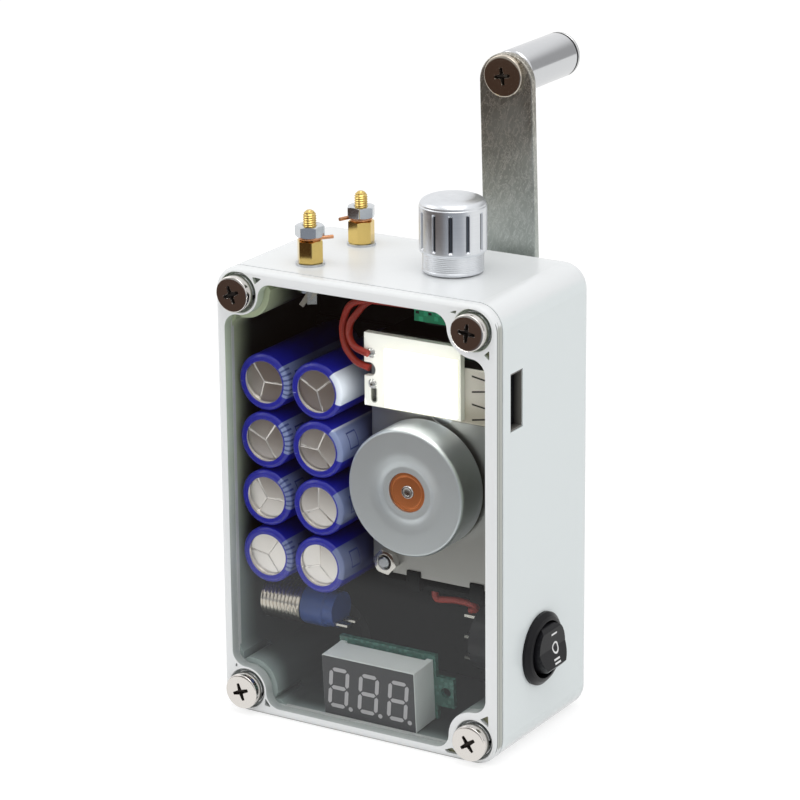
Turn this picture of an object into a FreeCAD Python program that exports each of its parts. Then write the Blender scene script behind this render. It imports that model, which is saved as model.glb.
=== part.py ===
"""Hand crank generator in a clear-lidded box: every piece as its own solid, in millimetres.

Frame: X to the right, +Y to the back (crank side), +Z up. The clear lid faces -Y.
The origin is the middle of the box's bottom face, which the box stands on.
"""
import FreeCAD, Part
import math
import os

V = FreeCAD.Vector

# ------------------------------------------------------------------ driving sizes
# box: its width, depth and height follow from what it holds
wall = 2.8
left_wall = 2.1
floor_thickness = 2.0
corner_radius = 5.5
back_edge_radius = 2.6
lid_thickness = 2.4
lid_seam = 0.3
lid_lip = 1.0
pane_overlap = 0.5
pane_clearance = 0.15
gasket_width = 1.5
gasket_inset = 0.7
gasket_groove = 0.7
column_radius = 6.2
column_fillet = 3.2
backing_thickness = 1.6
board_thickness = 1.6
seat_gap = 0.4
space_under_gearbox = 28.2
space_over_gearbox = 3.7
# lid screws, M4 pan head with plain and spring washers
screw_inset_x = 5.6
screw_inset_z = 5.3
lid_screw_radius = 1.95
lid_screw_length = 14.0
lid_screw_head_radius = 3.9
lid_screw_head_height = 2.6
lid_washer_radius = 4.0
lid_washer_thickness = 0.6
lock_washer_radius = 3.7
lock_washer_thickness = 1.0
lid_well_depth = 1.6
lid_well_clearance = 0.4
# generator, outside rotor type
bell_radius = 14.0
bell_wall = 1.0
bell_front_gap = 1.6
bell_back_gap = 1.1
bell_depth = 8.4
bell_edge_radius = 0.8
dish_outer_radius = 8.3
dish_inner_radius = 5.9
dish_depth = 0.9
hub_radius = 4.35
hub_thickness = 1.0
magnet_thickness = 1.3
air_gap = 0.4
stator_teeth = 9
stator_height = 4.6
bearing_tube_radius = 3.0
rotor_shaft_radius = 1.5
# gear train, from the crank up to the rotor
pressure_angle = 25.0
backlash = 0.08
crank_teeth = 32
crank_module = 0.8
middle_teeth = 36
middle_module = 0.6
last_teeth = 30
last_module = 0.5
pinion_teeth = 12
first_mesh_angle = -75.86
second_mesh_angle = -141.52
third_mesh_angle = 71.26
rotor_gear_width = 4.0
middle_gear_width = 5.0
crank_gear_width = 6.0
gear_layer_gap = 1.0
gear_front_gap = 0.7
gear_rear_gap = 2.0
arbor_radius = 1.5
shoulder_height = 0.5
running_clearance = 0.05
# gearbox
plate_thickness = 1.2
housing_wall = 1.1
housing_gap_left = 1.18
housing_gap_right = 0.66
housing_gap_top = 0.38
housing_apron = 3.0
box_corner_radius = 2.5
gearbox_side_gap = 0.6
housing_boss_radius = 3.1
housing_tab_width = 3.2
housing_tab_insets = (8.4, 23.9)
gearbox_screw_radius = 1.25
gearbox_screw_inset = 3.0
gearbox_nut_flats = 5.0
gearbox_nut_height = 2.0
# crank
crank_shaft_radius = 3.0
gear_seat_height = 1.6
bushing_radius = 4.5
bushing_flange_radius = 6.5
bushing_flange_thickness = 1.2
arm_gap = 3.0
arm_thickness = 1.8
arm_width = 12.7
arm_lean = 1.4
arm_square = 4.2
crank_length = 65.5
arm_tip_reach = 4.7
crank_nut_flats = 8.0
crank_nut_height = 4.0
crank_thread_radius = 2.0
handle_radius = 4.9
handle_length = 20.4
handle_spacer_length = 0.7
handle_spacer_radius = 4.1
handle_screw_radius = 2.2
handle_head_radius = 4.5
handle_head_height = 1.5
handle_cap_length = 1.0
handle_end_gap = 0.3
# knob and potentiometer
knob_y = 0.0
knob_lift = 0.3
skirt_radius = 6.45
skirt_height = 4.3
knob_radius = 7.1
knob_height = 15.6
knob_grooves = 12
knob_shaft_radius = 3.0
pot_bushing_radius = 3.5
pot_radius = 7.7
pot_rounding = 0.9
pot_height = 7.0
panel_nut_height = 2.0
pot_nut_flats = 9.6
dimmer_board_thickness = 1.2
# binding posts: distance from the left side, and from the front or the back
front_post_side_inset = 17.4
front_post_inset = 10.0
rear_post_side_inset = 18.4
rear_post_inset = 11.3
post_stud_radius = 1.45
post_washer_radius = 3.1
post_washer_thickness = 0.5
standoff_flats = 5.0
standoff_height = 4.8
post_nut_flats = 5.5
post_nut_height = 2.4
post_stud_proud = 3.2
post_neck_radius = 1.2
post_neck_height = 0.5
post_lug_thickness = 0.6
post_lug_radius = 2.6
post_lug_width = 2.0
post_lug_reach = 6.2
post_lug_drop = 4.2
copper_wire_radius = 0.4
wire_loop_radius = 1.95
wire_tail_length = 3.6
# rocker switch
switch_y = -1.3
switch_z = 20.7
switch_bezel_radius = 7.95
switch_bezel_height = 1.7
switch_barrel_radius = 6.9
switch_depth = 11.0
rocker_radius = 5.7
rocker_face_radius = 5.5
rocker_gap = 0.35
switch_well_radius = 6.25
rocker_pin_radius = 1.0
rocker_rise = 4.0
rocker_tilt = 9.0
terminal_pitch = 4.8
terminal_length = 4.2
terminal_offset = 0.6
# push button
button_y = -4.0
button_drop = 3.7
button_barrel_radius = 4.7
button_barrel_length = 9.2
button_flange_height = 1.4
button_nut_flats = 12.0
button_nut_height = 2.2
button_radius = 3.2
button_proud = 2.0
button_travel = 1.5
button_base_radius = 4.4
button_base_length = 8.0
button_pin_length = 3.0
button_pin_drop = 2.6
button_pin_spread = 1.6
# USB socket
usb_lid_gap = 5.85
usb_top_gap = 21.5
usb_width = 12.3
usb_thickness = 4.9
usb_length = 13.8
usb_sheet = 0.3
usb_gap = 0.1
usb_tongue_thickness = 1.7
usb_tongue_inset = 1.6
converter_board_width = 22.6
converter_board_drop = 6.2
converter_board_rise = 6.5
# light panel
led_lid_gap = 1.7
led_side_inset = 10.8
led_top_inset = 10.8
led_width = 23.1
led_height = 15.8
led_notch_drop = 7.9
led_notch_radius = 1.5
emitter_inset = 5.3
emitter_width = 17.2
emitter_height = 12.6
emitter_lift = 0.5
emitter_thickness = 0.8
# capacitors
capacitor_radius = 6.25
capacitor_lid_gap = 1.1
capacitor_side_gap = 0.25
capacitor_column_gap = 0.6
capacitor_row_gap = 0.45
capacitor_to_gearbox = 1.35
capacitor_floor_gap = 27.4
capacitor_board_gap = 0.5
capacitor_columns = 2
capacitor_rows = 4
capacitor_face_radius = 4.7
sleeve_thickness = 0.2
lead_radius = 0.4
lead_spacing = 5.0
# voltmeter
meter_x = 0.85
meter_width = 23.0
meter_height = 13.9
meter_depth = 7.2
meter_lid_gap = 1.05
meter_lean = 4.0
meter_foot = 0.9
meter_board_thickness = 1.2
# wires
wire_radius = 0.75


# ------------------------------------------------------------------ places worked out from the sizes
def step(start, distance, angle):
    """Point at a distance from another, in a direction from +X to +Z in degrees."""
    turn = math.radians(angle)
    return (start[0] + distance * math.cos(turn), start[1] + distance * math.sin(turn))


def tip_radius(module, teeth):
    return module * (teeth / 2 + 0.9)


# three meshes in a row take the crank's turn to the rotor; first from the crank as origin
idler_one_step = step((0, 0), crank_module * (crank_teeth + pinion_teeth) / 2, first_mesh_angle)
idler_two_step = step(idler_one_step, middle_module * (middle_teeth + pinion_teeth) / 2, second_mesh_angle)
rotor_step = step(idler_two_step, last_module * (last_teeth + pinion_teeth) / 2, third_mesh_angle)
crank_tip = tip_radius(crank_module, crank_teeth)
middle_tip = tip_radius(middle_module, middle_teeth)
last_tip = tip_radius(last_module, last_teeth)
box_reach_right = max(crank_tip, idler_one_step[0] + middle_tip) + housing_gap_right + housing_wall
box_reach_left = -idler_two_step[0] + last_tip + housing_gap_left + housing_wall
box_width = box_reach_left + box_reach_right

# width: capacitors, then the gearbox
capacitor_step = 2 * capacitor_radius + capacitor_column_gap
capacitor_pitch = 2 * capacitor_radius + capacitor_row_gap
capacitors_width = capacitor_columns * capacitor_step - capacitor_column_gap
case_width = round(2 * wall + capacitor_side_gap + capacitors_width + capacitor_to_gearbox + box_width
                   + gearbox_side_gap)
half_width = case_width / 2
side_inner = half_width - wall
box_right = side_inner - gearbox_side_gap
box_left = box_right - box_width
crank_x = box_right - box_reach_right

# depth: lid, generator, gearbox, backing plate and back wall
gearbox_depth = (2 * plate_thickness + gear_front_gap + rotor_gear_width + middle_gear_width
                 + crank_gear_width + 2 * gear_layer_gap + gear_rear_gap)
case_depth = (lid_thickness + bell_front_gap + bell_depth + bell_back_gap + gearbox_depth
              + backing_thickness + wall)
back = case_depth / 2
lid_front = -back
lid_back = lid_front + lid_thickness
rim = lid_back + lid_seam
bell_front = lid_back + bell_front_gap
bell_back = bell_front + bell_depth
plate_front = bell_back + bell_back_gap
plate_back = plate_front + plate_thickness
last_layer = plate_back + gear_front_gap
middle_layer = last_layer + rotor_gear_width + gear_layer_gap
crank_layer = middle_layer + middle_gear_width + gear_layer_gap
rear_plate_front = crank_layer + crank_gear_width + gear_rear_gap
rear_plate_back = rear_plate_front + plate_thickness
backing_front = rear_plate_back
back_inner = back - wall
arm_front = back + arm_gap

# height: space for the voltmeter, gearbox, potentiometer
box_bottom = floor_thickness + space_under_gearbox
plate_bottom = box_bottom + housing_apron
gearbox_screw_z = plate_bottom + gearbox_screw_inset - 0.3
idler_two_z = gearbox_screw_z + last_tip + housing_boss_radius / 2
crank_z = idler_two_z - idler_two_step[1]
box_top = crank_z + crank_tip + housing_gap_top + housing_wall
case_height = round(box_top + space_over_gearbox + pot_height + wall)
top_inner = case_height - wall

crank_axis = (crank_x, crank_z)
idler_one_axis = (crank_x + idler_one_step[0], crank_z + idler_one_step[1])
idler_two_axis = (crank_x + idler_two_step[0], idler_two_z)
rotor_axis = (crank_x + rotor_step[0], crank_z + rotor_step[1])

screw_x = half_width - screw_inset_x
screw_z = case_height / 2 - screw_inset_z
screw_places = [(side * screw_x, case_height / 2 + end * screw_z) for side in (-1, 1) for end in (-1, 1)]
gearbox_screw_places = [(box_left + gearbox_screw_inset + 0.8, gearbox_screw_z),
                        (box_right - gearbox_screw_inset, gearbox_screw_z),
                        (box_left + gearbox_screw_inset, box_top - gearbox_screw_inset),
                        (box_right - gearbox_screw_inset, box_top - gearbox_screw_inset)]

capacitor_front = lid_back + capacitor_lid_gap
capacitor_back = backing_front - board_thickness - capacitor_board_gap
first_capacitor_x = -side_inner + capacitor_side_gap + capacitor_radius
first_capacitor_z = floor_thickness + capacitor_floor_gap + capacitor_radius
capacitor_places = [(first_capacitor_x + column * capacitor_step, first_capacitor_z + row * capacitor_pitch)
                    for column in range(capacitor_columns) for row in range(capacitor_rows)]

knob_x = screw_x - column_radius - column_fillet - (pot_radius - pot_rounding)
post_places = [(-half_width + front_post_side_inset, lid_front + front_post_inset),
               (-half_width + rear_post_side_inset, back - rear_post_inset)]
button_z = floor_thickness + capacitor_floor_gap - button_drop - button_barrel_radius
usb_y = lid_back + usb_lid_gap
usb_z = case_height - usb_top_gap
led_front = lid_back + led_lid_gap
led_right = half_width - led_side_inset
led_left = led_right - led_width
led_top = case_height - led_top_inset
led_bottom = led_top - led_height
meter_front = lid_back + meter_lid_gap


# ------------------------------------------------------------------ shape helpers
def block(x0, x1, y0, y1, z0, z1):
    """Box between two corners."""
    return Part.makeBox(x1 - x0, y1 - y0, z1 - z0, V(x0, y0, z0))


def rod(x, y, z, axis, radius, length):
    """Cylinder from a point along an axis direction."""
    return Part.makeCylinder(radius, length, V(x, y, z), V(*axis))


def fuse(shapes):
    """One solid from several that touch or overlap."""
    whole = shapes[0].multiFuse(shapes[1:])
    return whole.removeSplitter()


def turned(origin, along, across, profile):
    """Solid of revolution: profile points are (radius, height) pairs about the axis `along`."""
    start, axis, side = V(*origin), V(*along), V(*across)
    points = [start + side * radius + axis * height for radius, height in profile]
    face = Part.Face(Part.makePolygon(points + [points[0]]))
    return face.revolve(start, axis, 360)


def turned_y(x, z, profile):
    """Solid of revolution about a line along Y; heights in the profile are Y places."""
    return turned((x, 0, z), (0, 1, 0), (1, 0, 0), profile)


def turned_z(x, y, profile):
    """Solid of revolution about an upright line; heights in the profile are Z places."""
    return turned((x, y, 0), (0, 0, 1), (1, 0, 0), profile)


def turned_x(y, z, profile):
    """Solid of revolution about a line along X; heights in the profile are X places."""
    return turned((0, y, z), (1, 0, 0), (0, 1, 0), profile)


def hexagon(origin, axis, across, flats, height, bore=0.0):
    """Six-sided prism with an optional bore, one corner pointing along `across`."""
    start, up, side = V(*origin), V(*axis), V(*across)
    other = up.cross(side)
    corner = flats / math.sqrt(3)
    points = [start + side * (corner * math.cos(math.radians(60 * k)))
              + other * (corner * math.sin(math.radians(60 * k))) for k in range(6)]
    solid = Part.Face(Part.makePolygon(points + [points[0]])).extrude(up * height)
    if bore > 0:
        solid = solid.cut(Part.makeCylinder(bore, height, start, up))
    return solid


def rounded_plate(x0, x1, z0, z1, radius, y0, y1):
    """Plate in the XZ plane with rounded corners, between two Y places."""
    plate = block(x0, x1, y0, y1, z0, z1)
    corners = [edge for edge in plate.Edges if abs(edge.Vertexes[0].Y - edge.Vertexes[1].Y) > 1e-6]
    return plate.makeFillet(radius, corners)


def edges_at(shape, test):
    """Edges whose two end points both pass a test."""
    return [edge for edge in shape.Edges if all(test(vertex.Point) for vertex in edge.Vertexes)]


def cross_recess(x, y, z, outward, reach, depth):
    """Cutter for a cross-headed screw: two crossed bars sunk from the head's face along Y."""
    thick = reach * 0.28
    low, high = (y, y + depth) if outward < 0 else (y - depth, y)
    return block(x - reach, x + reach, low, high, z - thick, z + thick).fuse(
        block(x - thick, x + thick, low, high, z - reach, z + reach))


def round_wire(name, points, radius):
    """Tube along straight runs joined by tangent arcs, as large as their runs allow."""
    places = [V(*point) for point in points]
    edges, here, radii = [], places[0], []
    for before, corner, after in zip(places, places[1:], places[2:]):
        first, second = (before - corner), (after - corner)
        turn = math.pi - first.getAngle(second)
        shorter = min(first.Length, second.Length)
        bend = 0.45 * shorter / math.tan(turn / 2)
        radii.append(round(bend, 1))
        first.normalize()
        second.normalize()
        start, end = corner + first * (0.45 * shorter), corner + second * (0.45 * shorter)
        middle_way = first + second
        middle_way.normalize()
        top = corner + middle_way * (bend / math.cos(turn / 2) - bend)
        edges.append(Part.LineSegment(here, start).toShape())
        edges.append(Part.Arc(start, top, end).toShape())
        here = end
    edges.append(Part.LineSegment(here, places[-1]).toShape())
    path = Part.Wire(edges)
    ring = Part.Wire(Part.makeCircle(radius, places[0], places[1] - places[0]))
    tube = path.makePipeShell([ring], True, False)
    share = tube.Volume / (math.pi * radius ** 2 * path.Length)
    print(name, "length", round(path.Length, 1), "bend radii", radii, "volume share", round(share, 3))
    return tube


def involute_gear(centre, module, teeth, tooth_angle, y, width, bore):
    """External spur gear about Y. One tooth is centred at tooth_angle, measured from +X to +Z.

    Each flank is the involute of the base circle, drawn as an arc through three of its points,
    and runs on as a radial line below the base circle.
    """
    pressure = math.radians(pressure_angle)
    pitch_radius = module * teeth / 2
    base_radius = pitch_radius * math.cos(pressure)
    tip_radius = pitch_radius + 0.9 * module
    root_radius = pitch_radius - 1.15 * module
    flank_start = max(base_radius, root_radius)

    def half_thickness(radius):
        """Angle from a tooth's centre line to its flank at a radius."""
        angle = math.acos(min(1.0, base_radius / radius))
        return (math.pi / (2 * teeth) - backlash / (2 * pitch_radius)
                + (math.tan(pressure) - pressure) - (math.tan(angle) - angle))

    def at(radius, angle):
        return V(centre[0] + radius * math.cos(angle), y, centre[1] + radius * math.sin(angle))

    flank_radii = (flank_start, (flank_start + tip_radius) / 2, tip_radius)
    edges, first, last = [], None, None
    for k in range(teeth):
        middle = math.radians(tooth_angle) + 2 * math.pi * k / teeth
        rising = [at(r, middle - half_thickness(r)) for r in flank_radii]
        falling = [at(r, middle + half_thickness(r)) for r in reversed(flank_radii)]
        foot_in = at(root_radius, middle - half_thickness(flank_start))
        foot_out = at(root_radius, middle + half_thickness(flank_start))
        if last is not None:
            edges.append(Part.LineSegment(last, foot_in).toShape())
        else:
            first = foot_in
        if flank_start > root_radius + 1e-6:
            edges.append(Part.LineSegment(foot_in, rising[0]).toShape())
        edges.append(Part.Arc(*rising).toShape())
        edges.append(Part.LineSegment(rising[2], falling[0]).toShape())
        edges.append(Part.Arc(*falling).toShape())
        if flank_start > root_radius + 1e-6:
            edges.append(Part.LineSegment(falling[2], foot_out).toShape())
        last = foot_out
    edges.append(Part.LineSegment(last, first).toShape())
    gear = Part.Face(Part.Wire(edges)).extrude(V(0, width, 0))
    return gear.cut(rod(centre[0], y, centre[1], (0, 1, 0), bore, width))


def direction(start, end):
    """Angle in degrees of the line from start to end in the XZ plane, from +X to +Z."""
    return math.degrees(math.atan2(end[1] - start[1], end[0] - start[0]))


parts = {}


def keep(name, *solids):
    """Files one node: a single solid, or separate solids that share the node."""
    flat = [solid for shape in solids for solid in shape.Solids]
    parts[name] = flat[0] if len(flat) == 1 else Part.makeCompound(flat)
    return parts[name]


# ------------------------------------------------------------------ box, lid and fasteners
def screw_column(x, z, y0, y1, shrink=0.0):
    return rod(x, y0, z, (0, 1, 0), column_radius - shrink, y1 - y0)


def box_cavity(y0, y1, grow=0.0):
    """Inside of the box: the corner columns eat its corners and run into the walls in an S-curve."""
    hollow = block(-half_width + left_wall - grow, side_inner + grow, y0, y1, floor_thickness - grow,
                   top_inner + grow)
    for x, z in screw_places:
        hollow = hollow.cut(screw_column(x, z, y0, y1, grow))
    long_edges = [edge for edge in hollow.Edges
                  if abs(edge.Vertexes[0].Y - edge.Vertexes[-1].Y) > (y1 - y0) * 0.9]
    return hollow.makeFillet(column_fillet, long_edges)


def moulding_pocket(x, z, front, depth):
    """Pair of three-sided pockets beside a screw column, as moulded to keep its wall even."""
    side = -1 if x > 0 else 1
    drop = -1 if z > case_height / 2 else 1
    near, far, tip = column_radius - 0.9, column_radius + 1.4, column_radius + 0.3
    edge_x, edge_z = screw_inset_x - wall - 0.3, screw_inset_z - wall - 0.3
    pair = []
    for outline in ([(near, -edge_z), (far, -edge_z), (tip, -0.5)],
                    [(-edge_x, near), (-edge_x, far), (-0.5, tip)]):
        corners = [V(x + side * dx, front, z + drop * dz) for dx, dz in outline]
        pair.append(Part.Face(Part.makePolygon(corners + corners[:1])).extrude(V(0, depth, 0)))
    return pair


def ring_band(inset, width, y0, y1):
    """Rounded rectangular band that follows the box's outline."""
    def outline(offset):
        return rounded_plate(-half_width + offset, half_width - offset, offset, case_height - offset,
                             corner_radius - offset, y0, y1)
    return outline(inset).cut(outline(inset + width))


def make_case():
    tub = rounded_plate(-half_width, half_width, 0, case_height, corner_radius, rim, back)
    tub = tub.makeFillet(back_edge_radius, edges_at(tub, lambda p: abs(p.y - back) < 1e-6))
    cuts = [box_cavity(rim, back_inner), ring_band(gasket_inset, gasket_width, rim, rim + gasket_groove)]
    for x, z in screw_places:
        cuts.append(rod(x, rim, z, (0, 1, 0), lid_screw_radius + running_clearance, lid_screw_length))
        cuts.extend(moulding_pocket(x, z, rim, 9.0))
    cuts.append(rod(knob_x, knob_y, top_inner, (0, 0, 1), pot_bushing_radius + 0.1, wall))
    for x, y in post_places:
        cuts.append(rod(x, y, top_inner, (0, 0, 1), post_stud_radius + 0.1, wall))
    spot_face = 2.0
    cuts.append(rod(side_inner - spot_face, switch_y, switch_z, (1, 0, 0), switch_barrel_radius + 0.1,
                    wall + spot_face))
    cuts.append(rod(-half_width, button_y, button_z, (1, 0, 0), button_barrel_radius + 0.05, wall))
    half_y, half_z = usb_thickness / 2 + usb_gap, usb_width / 2 + usb_gap
    cuts.append(block(side_inner, half_width, usb_y - half_y, usb_y + half_y, usb_z - half_z, usb_z + half_z))
    cuts.append(rod(crank_x, back_inner, crank_z, (0, 1, 0), bushing_radius, wall))
    for x, z in gearbox_screw_places:
        cuts.append(rod(x, back_inner, z, (0, 1, 0), gearbox_screw_radius + 0.15, wall))
    for cut in cuts:
        tub = tub.cut(cut)
    keep("enclosure_body", tub)

    keep("lid_gasket", ring_band(gasket_inset + 0.05, gasket_width - 0.1, lid_back, rim + gasket_groove))

    # the lid: a white frame with the screws in its corners, and a clear pane let into it from behind
    lip_back = lid_front + lid_lip
    frame = rounded_plate(-half_width, half_width, 0, case_height, corner_radius, lid_front, lid_back)
    frame = frame.makeFillet(0.6, edges_at(frame, lambda p: abs(p.y - lid_front) < 1e-6))
    cuts = [box_cavity(lid_front, lid_back), box_cavity(lip_back, lid_back, pane_overlap)]
    for x, z in screw_places:
        cuts.append(rod(x, lid_front, z, (0, 1, 0), lid_washer_radius + lid_well_clearance, lid_well_depth))
        cuts.append(rod(x, lid_front, z, (0, 1, 0), lid_screw_radius + 0.15, lid_thickness))
        cuts.extend(moulding_pocket(x, z, lid_front, lid_lip))
    for cut in cuts:
        frame = frame.cut(cut)
    keep("lid_frame", frame)
    keep("clear_lid", box_cavity(lip_back, lid_back, pane_overlap - pane_clearance))

    screws, washers, seat = [], [], lid_front + lid_well_depth
    lock_back = seat - lid_washer_thickness
    under_head = lock_back - lock_washer_thickness
    face = under_head - lid_screw_head_height
    for x, z in screw_places:
        screw = turned_y(x, z, [(0, face), (lid_screw_head_radius - 0.7, face),
                                (lid_screw_head_radius, face + 0.7), (lid_screw_head_radius, under_head),
                                (lid_screw_radius, under_head),
                                (lid_screw_radius, under_head + lid_screw_length), (0, under_head + lid_screw_length)])
        screws.append(screw.cut(cross_recess(x, face, z, -1, 1.9, 1.4)))
        bore = lid_screw_radius + 0.15
        washers.append(turned_y(x, z, [(bore, lock_back), (lid_washer_radius, lock_back),
                                       (lid_washer_radius, seat), (bore, seat)]))
        ring = turned_y(x, z, [(bore, under_head), (lock_washer_radius, under_head),
                               (lock_washer_radius, lock_back), (bore, lock_back)])
        slit = block(x, x + lid_washer_radius, under_head, lock_back, z - 0.2, z + 0.2)
        slit.rotate(V(x, 0, z), V(0, 1, 0), 35)
        washers.append(ring.cut(slit))
    keep("lid_screws", *screws)
    keep("lid_washers", *washers)

    clear = column_radius + column_fillet + 0.3
    plate = block(-side_inner + 0.4, side_inner - 0.4, backing_front, back_inner, floor_thickness + 0.4,
                  top_inner - 0.4)
    for x, z in screw_places:
        plate = plate.cut(rod(x, backing_front, z, (0, 1, 0), clear, backing_thickness))
    plate = plate.cut(rod(crank_x, backing_front, crank_z, (0, 1, 0), crank_shaft_radius + 0.8,
                          backing_thickness))
    for x, z in gearbox_screw_places:
        plate = plate.cut(rod(x, backing_front, z, (0, 1, 0), gearbox_screw_radius + 0.15, backing_thickness))
    keep("backing_plate", plate)


# ------------------------------------------------------------------ gearbox and generator
def make_gearbox():
    holes = [(crank_axis, crank_shaft_radius + running_clearance),
             (idler_one_axis, arbor_radius + running_clearance),
             (idler_two_axis, arbor_radius + running_clearance)]
    plates = []
    tab_gap = 0.1
    tab_top = plate_bottom + 1.2
    tab_places = [box_left + inset for inset in housing_tab_insets]
    for y0, front in ((plate_front, True), (rear_plate_front, False)):
        plate = rounded_plate(box_left, box_right, plate_bottom, box_top, box_corner_radius,
                              y0, y0 + plate_thickness)
        for (x, z), radius in holes:
            plate = plate.cut(rod(x, y0, z, (0, 1, 0), radius, plate_thickness))
        for x, z in gearbox_screw_places:
            plate = plate.cut(rod(x, y0, z, (0, 1, 0), gearbox_screw_radius + 0.1, plate_thickness))
        if front:
            plate = plate.cut(rod(rotor_axis[0], y0, rotor_axis[1], (0, 1, 0), bearing_tube_radius,
                                  plate_thickness))
            for x in tab_places:
                plate = plate.cut(block(x - tab_gap, x + housing_tab_width + tab_gap, y0, plate_back,
                                        plate_bottom, tab_top + tab_gap))
        plates.append(plate)
    keep("gearbox_plates", *plates)

    outside = rounded_plate(box_left, box_right, box_bottom, box_top, box_corner_radius,
                            plate_back, rear_plate_front)
    inside = rounded_plate(box_left + housing_wall, box_right - housing_wall, box_bottom + housing_wall,
                           box_top - housing_wall, box_corner_radius - housing_wall,
                           plate_back, rear_plate_front)
    bosses = [rod(x, plate_back, z, (0, 1, 0), housing_boss_radius, rear_plate_front - plate_back)
              for x, z in gearbox_screw_places]
    tabs = [block(x, x + housing_tab_width, plate_front - 0.4, plate_back, box_bottom, tab_top)
            for x in tab_places]
    housing = fuse([outside.cut(inside)] + [boss.common(outside) for boss in bosses] + tabs)
    for x, z in gearbox_screw_places:
        housing = housing.cut(rod(x, plate_back, z, (0, 1, 0), gearbox_screw_radius + 0.1,
                                  rear_plate_front - plate_back))
    keep("gear_housing", housing)

    screws, nuts, end = [], [], plate_front - gearbox_nut_height - 0.5
    for x, z in gearbox_screw_places:
        head = back + 1.6
        screw = turned_y(x, z, [(0, end), (gearbox_screw_radius - 0.3, end),
                                (gearbox_screw_radius, end + 0.3), (gearbox_screw_radius, back),
                                (2.3, back), (2.3, head - 0.5), (1.8, head), (0, head)])
        screws.append(screw.cut(cross_recess(x, head, z, 1, 1.1, 0.9)))
        nut = hexagon((x, plate_front - gearbox_nut_height, z), (0, 1, 0), (0, 0, 1),
                      gearbox_nut_flats, gearbox_nut_height, gearbox_screw_radius)
        nuts.append(nut.common(turned_y(x, z, [(0, plate_front - gearbox_nut_height),
                                               (2.4, plate_front - gearbox_nut_height),
                                               (3.0, plate_front - gearbox_nut_height + 0.35),
                                               (3.0, plate_front), (0, plate_front)])))
    keep("gearbox_screws", *screws)
    keep("gearbox_nuts", *nuts)


def make_generator():
    x, z = rotor_axis

    def spoke(step, r0, r1, y, depth, half):
        """Radial bar of the stator, at a number of tooth steps around the rotor axis."""
        bar = block(r0, r1, y, y + depth, -half, half)
        bar.translate(V(x, 0, z))
        bar.rotate(V(x, 0, z), V(0, 1, 0), 360.0 * step / stator_teeth)
        return bar

    outer, inner = bell_radius, bell_radius - bell_wall
    face, floor = bell_front, bell_front + dish_depth
    bell = turned_y(x, z, [(hub_radius, floor), (dish_inner_radius, floor), (dish_outer_radius, face),
                           (outer - bell_edge_radius, face), (outer - bell_edge_radius * 0.3, face + 0.4),
                           (outer, face + bell_edge_radius), (outer, bell_back), (inner, bell_back),
                           (inner, face + bell_wall + 0.6), (dish_outer_radius, face + bell_wall),
                           (dish_inner_radius, floor + bell_wall), (hub_radius, floor + bell_wall)])
    keep("rotor_bell", bell)

    magnet_front = face + bell_wall + 0.8
    magnet_inner = inner - magnet_thickness
    keep("rotor_magnets", turned_y(x, z, [(magnet_inner, magnet_front), (inner, magnet_front),
                                          (inner, bell_back - 0.3), (magnet_inner, bell_back - 0.3)]))
    hub_back = floor + 0.3 + hub_thickness
    keep("rotor_hub", turned_y(x, z, [(rotor_shaft_radius, floor + 0.3), (hub_radius - 0.4, floor + 0.3),
                                      (hub_radius, floor + 0.6), (hub_radius, hub_back),
                                      (rotor_shaft_radius, hub_back)]))

    # the shaft runs in the bearing tube and ends in the pinion's layer
    pinion_end = last_layer + rotor_gear_width
    shaft = turned_y(x, z, [(0, floor), (rotor_shaft_radius - 0.35, floor), (rotor_shaft_radius, floor + 0.35),
                            (rotor_shaft_radius, pinion_end - 0.3), (rotor_shaft_radius - 0.3, pinion_end),
                            (0, pinion_end)])
    keep("rotor_shaft", shaft)
    pinion_angle = direction(rotor_axis, idler_two_axis) + 180.0 / pinion_teeth
    keep("rotor_pinion", involute_gear(rotor_axis, last_module, pinion_teeth, pinion_angle,
                                       last_layer, rotor_gear_width, rotor_shaft_radius))

    # stationary parts: bearing tube through the front plate, laminated core, nine coils
    tube_front = hub_back + 0.5
    bore = rotor_shaft_radius + running_clearance
    keep("bearing_tube", turned_y(x, z, [(bore, tube_front), (bearing_tube_radius, tube_front),
                                         (bearing_tube_radius, plate_back), (bore, plate_back)]))
    core_radius = magnet_inner - air_gap
    core_front = bell_back - stator_height - 0.9
    slot_in, slot_out = bearing_tube_radius + 1.8, core_radius - 0.9
    coil_half = slot_in * math.tan(math.pi / stator_teeth) * 0.9
    tooth_half = coil_half * 0.45
    core = fuse([rod(x, core_front, z, (0, 1, 0), core_radius, stator_height).cut(
        rod(x, core_front, z, (0, 1, 0), slot_out, stator_height)),
        rod(x, core_front, z, (0, 1, 0), slot_in, stator_height)]
        + [spoke(k, slot_in - 0.5, slot_out + 0.5, core_front, stator_height, tooth_half)
           for k in range(stator_teeth)])
    coils = []
    for k in range(stator_teeth):
        core = core.cut(spoke(k + 0.5, slot_out - 0.5, core_radius + 0.5, core_front, stator_height, 0.5))
        coil = spoke(k, slot_in + 0.15, slot_out - 0.15, core_front - 0.5, stator_height + 0.9, coil_half)
        coils.append(coil.cut(spoke(k, slot_in, slot_out, core_front, stator_height, tooth_half)))
    core = core.cut(rod(x, core_front, z, (0, 1, 0), bearing_tube_radius, stator_height))
    keep("stator_core", core)
    keep("stator_coils", *coils)


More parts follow.
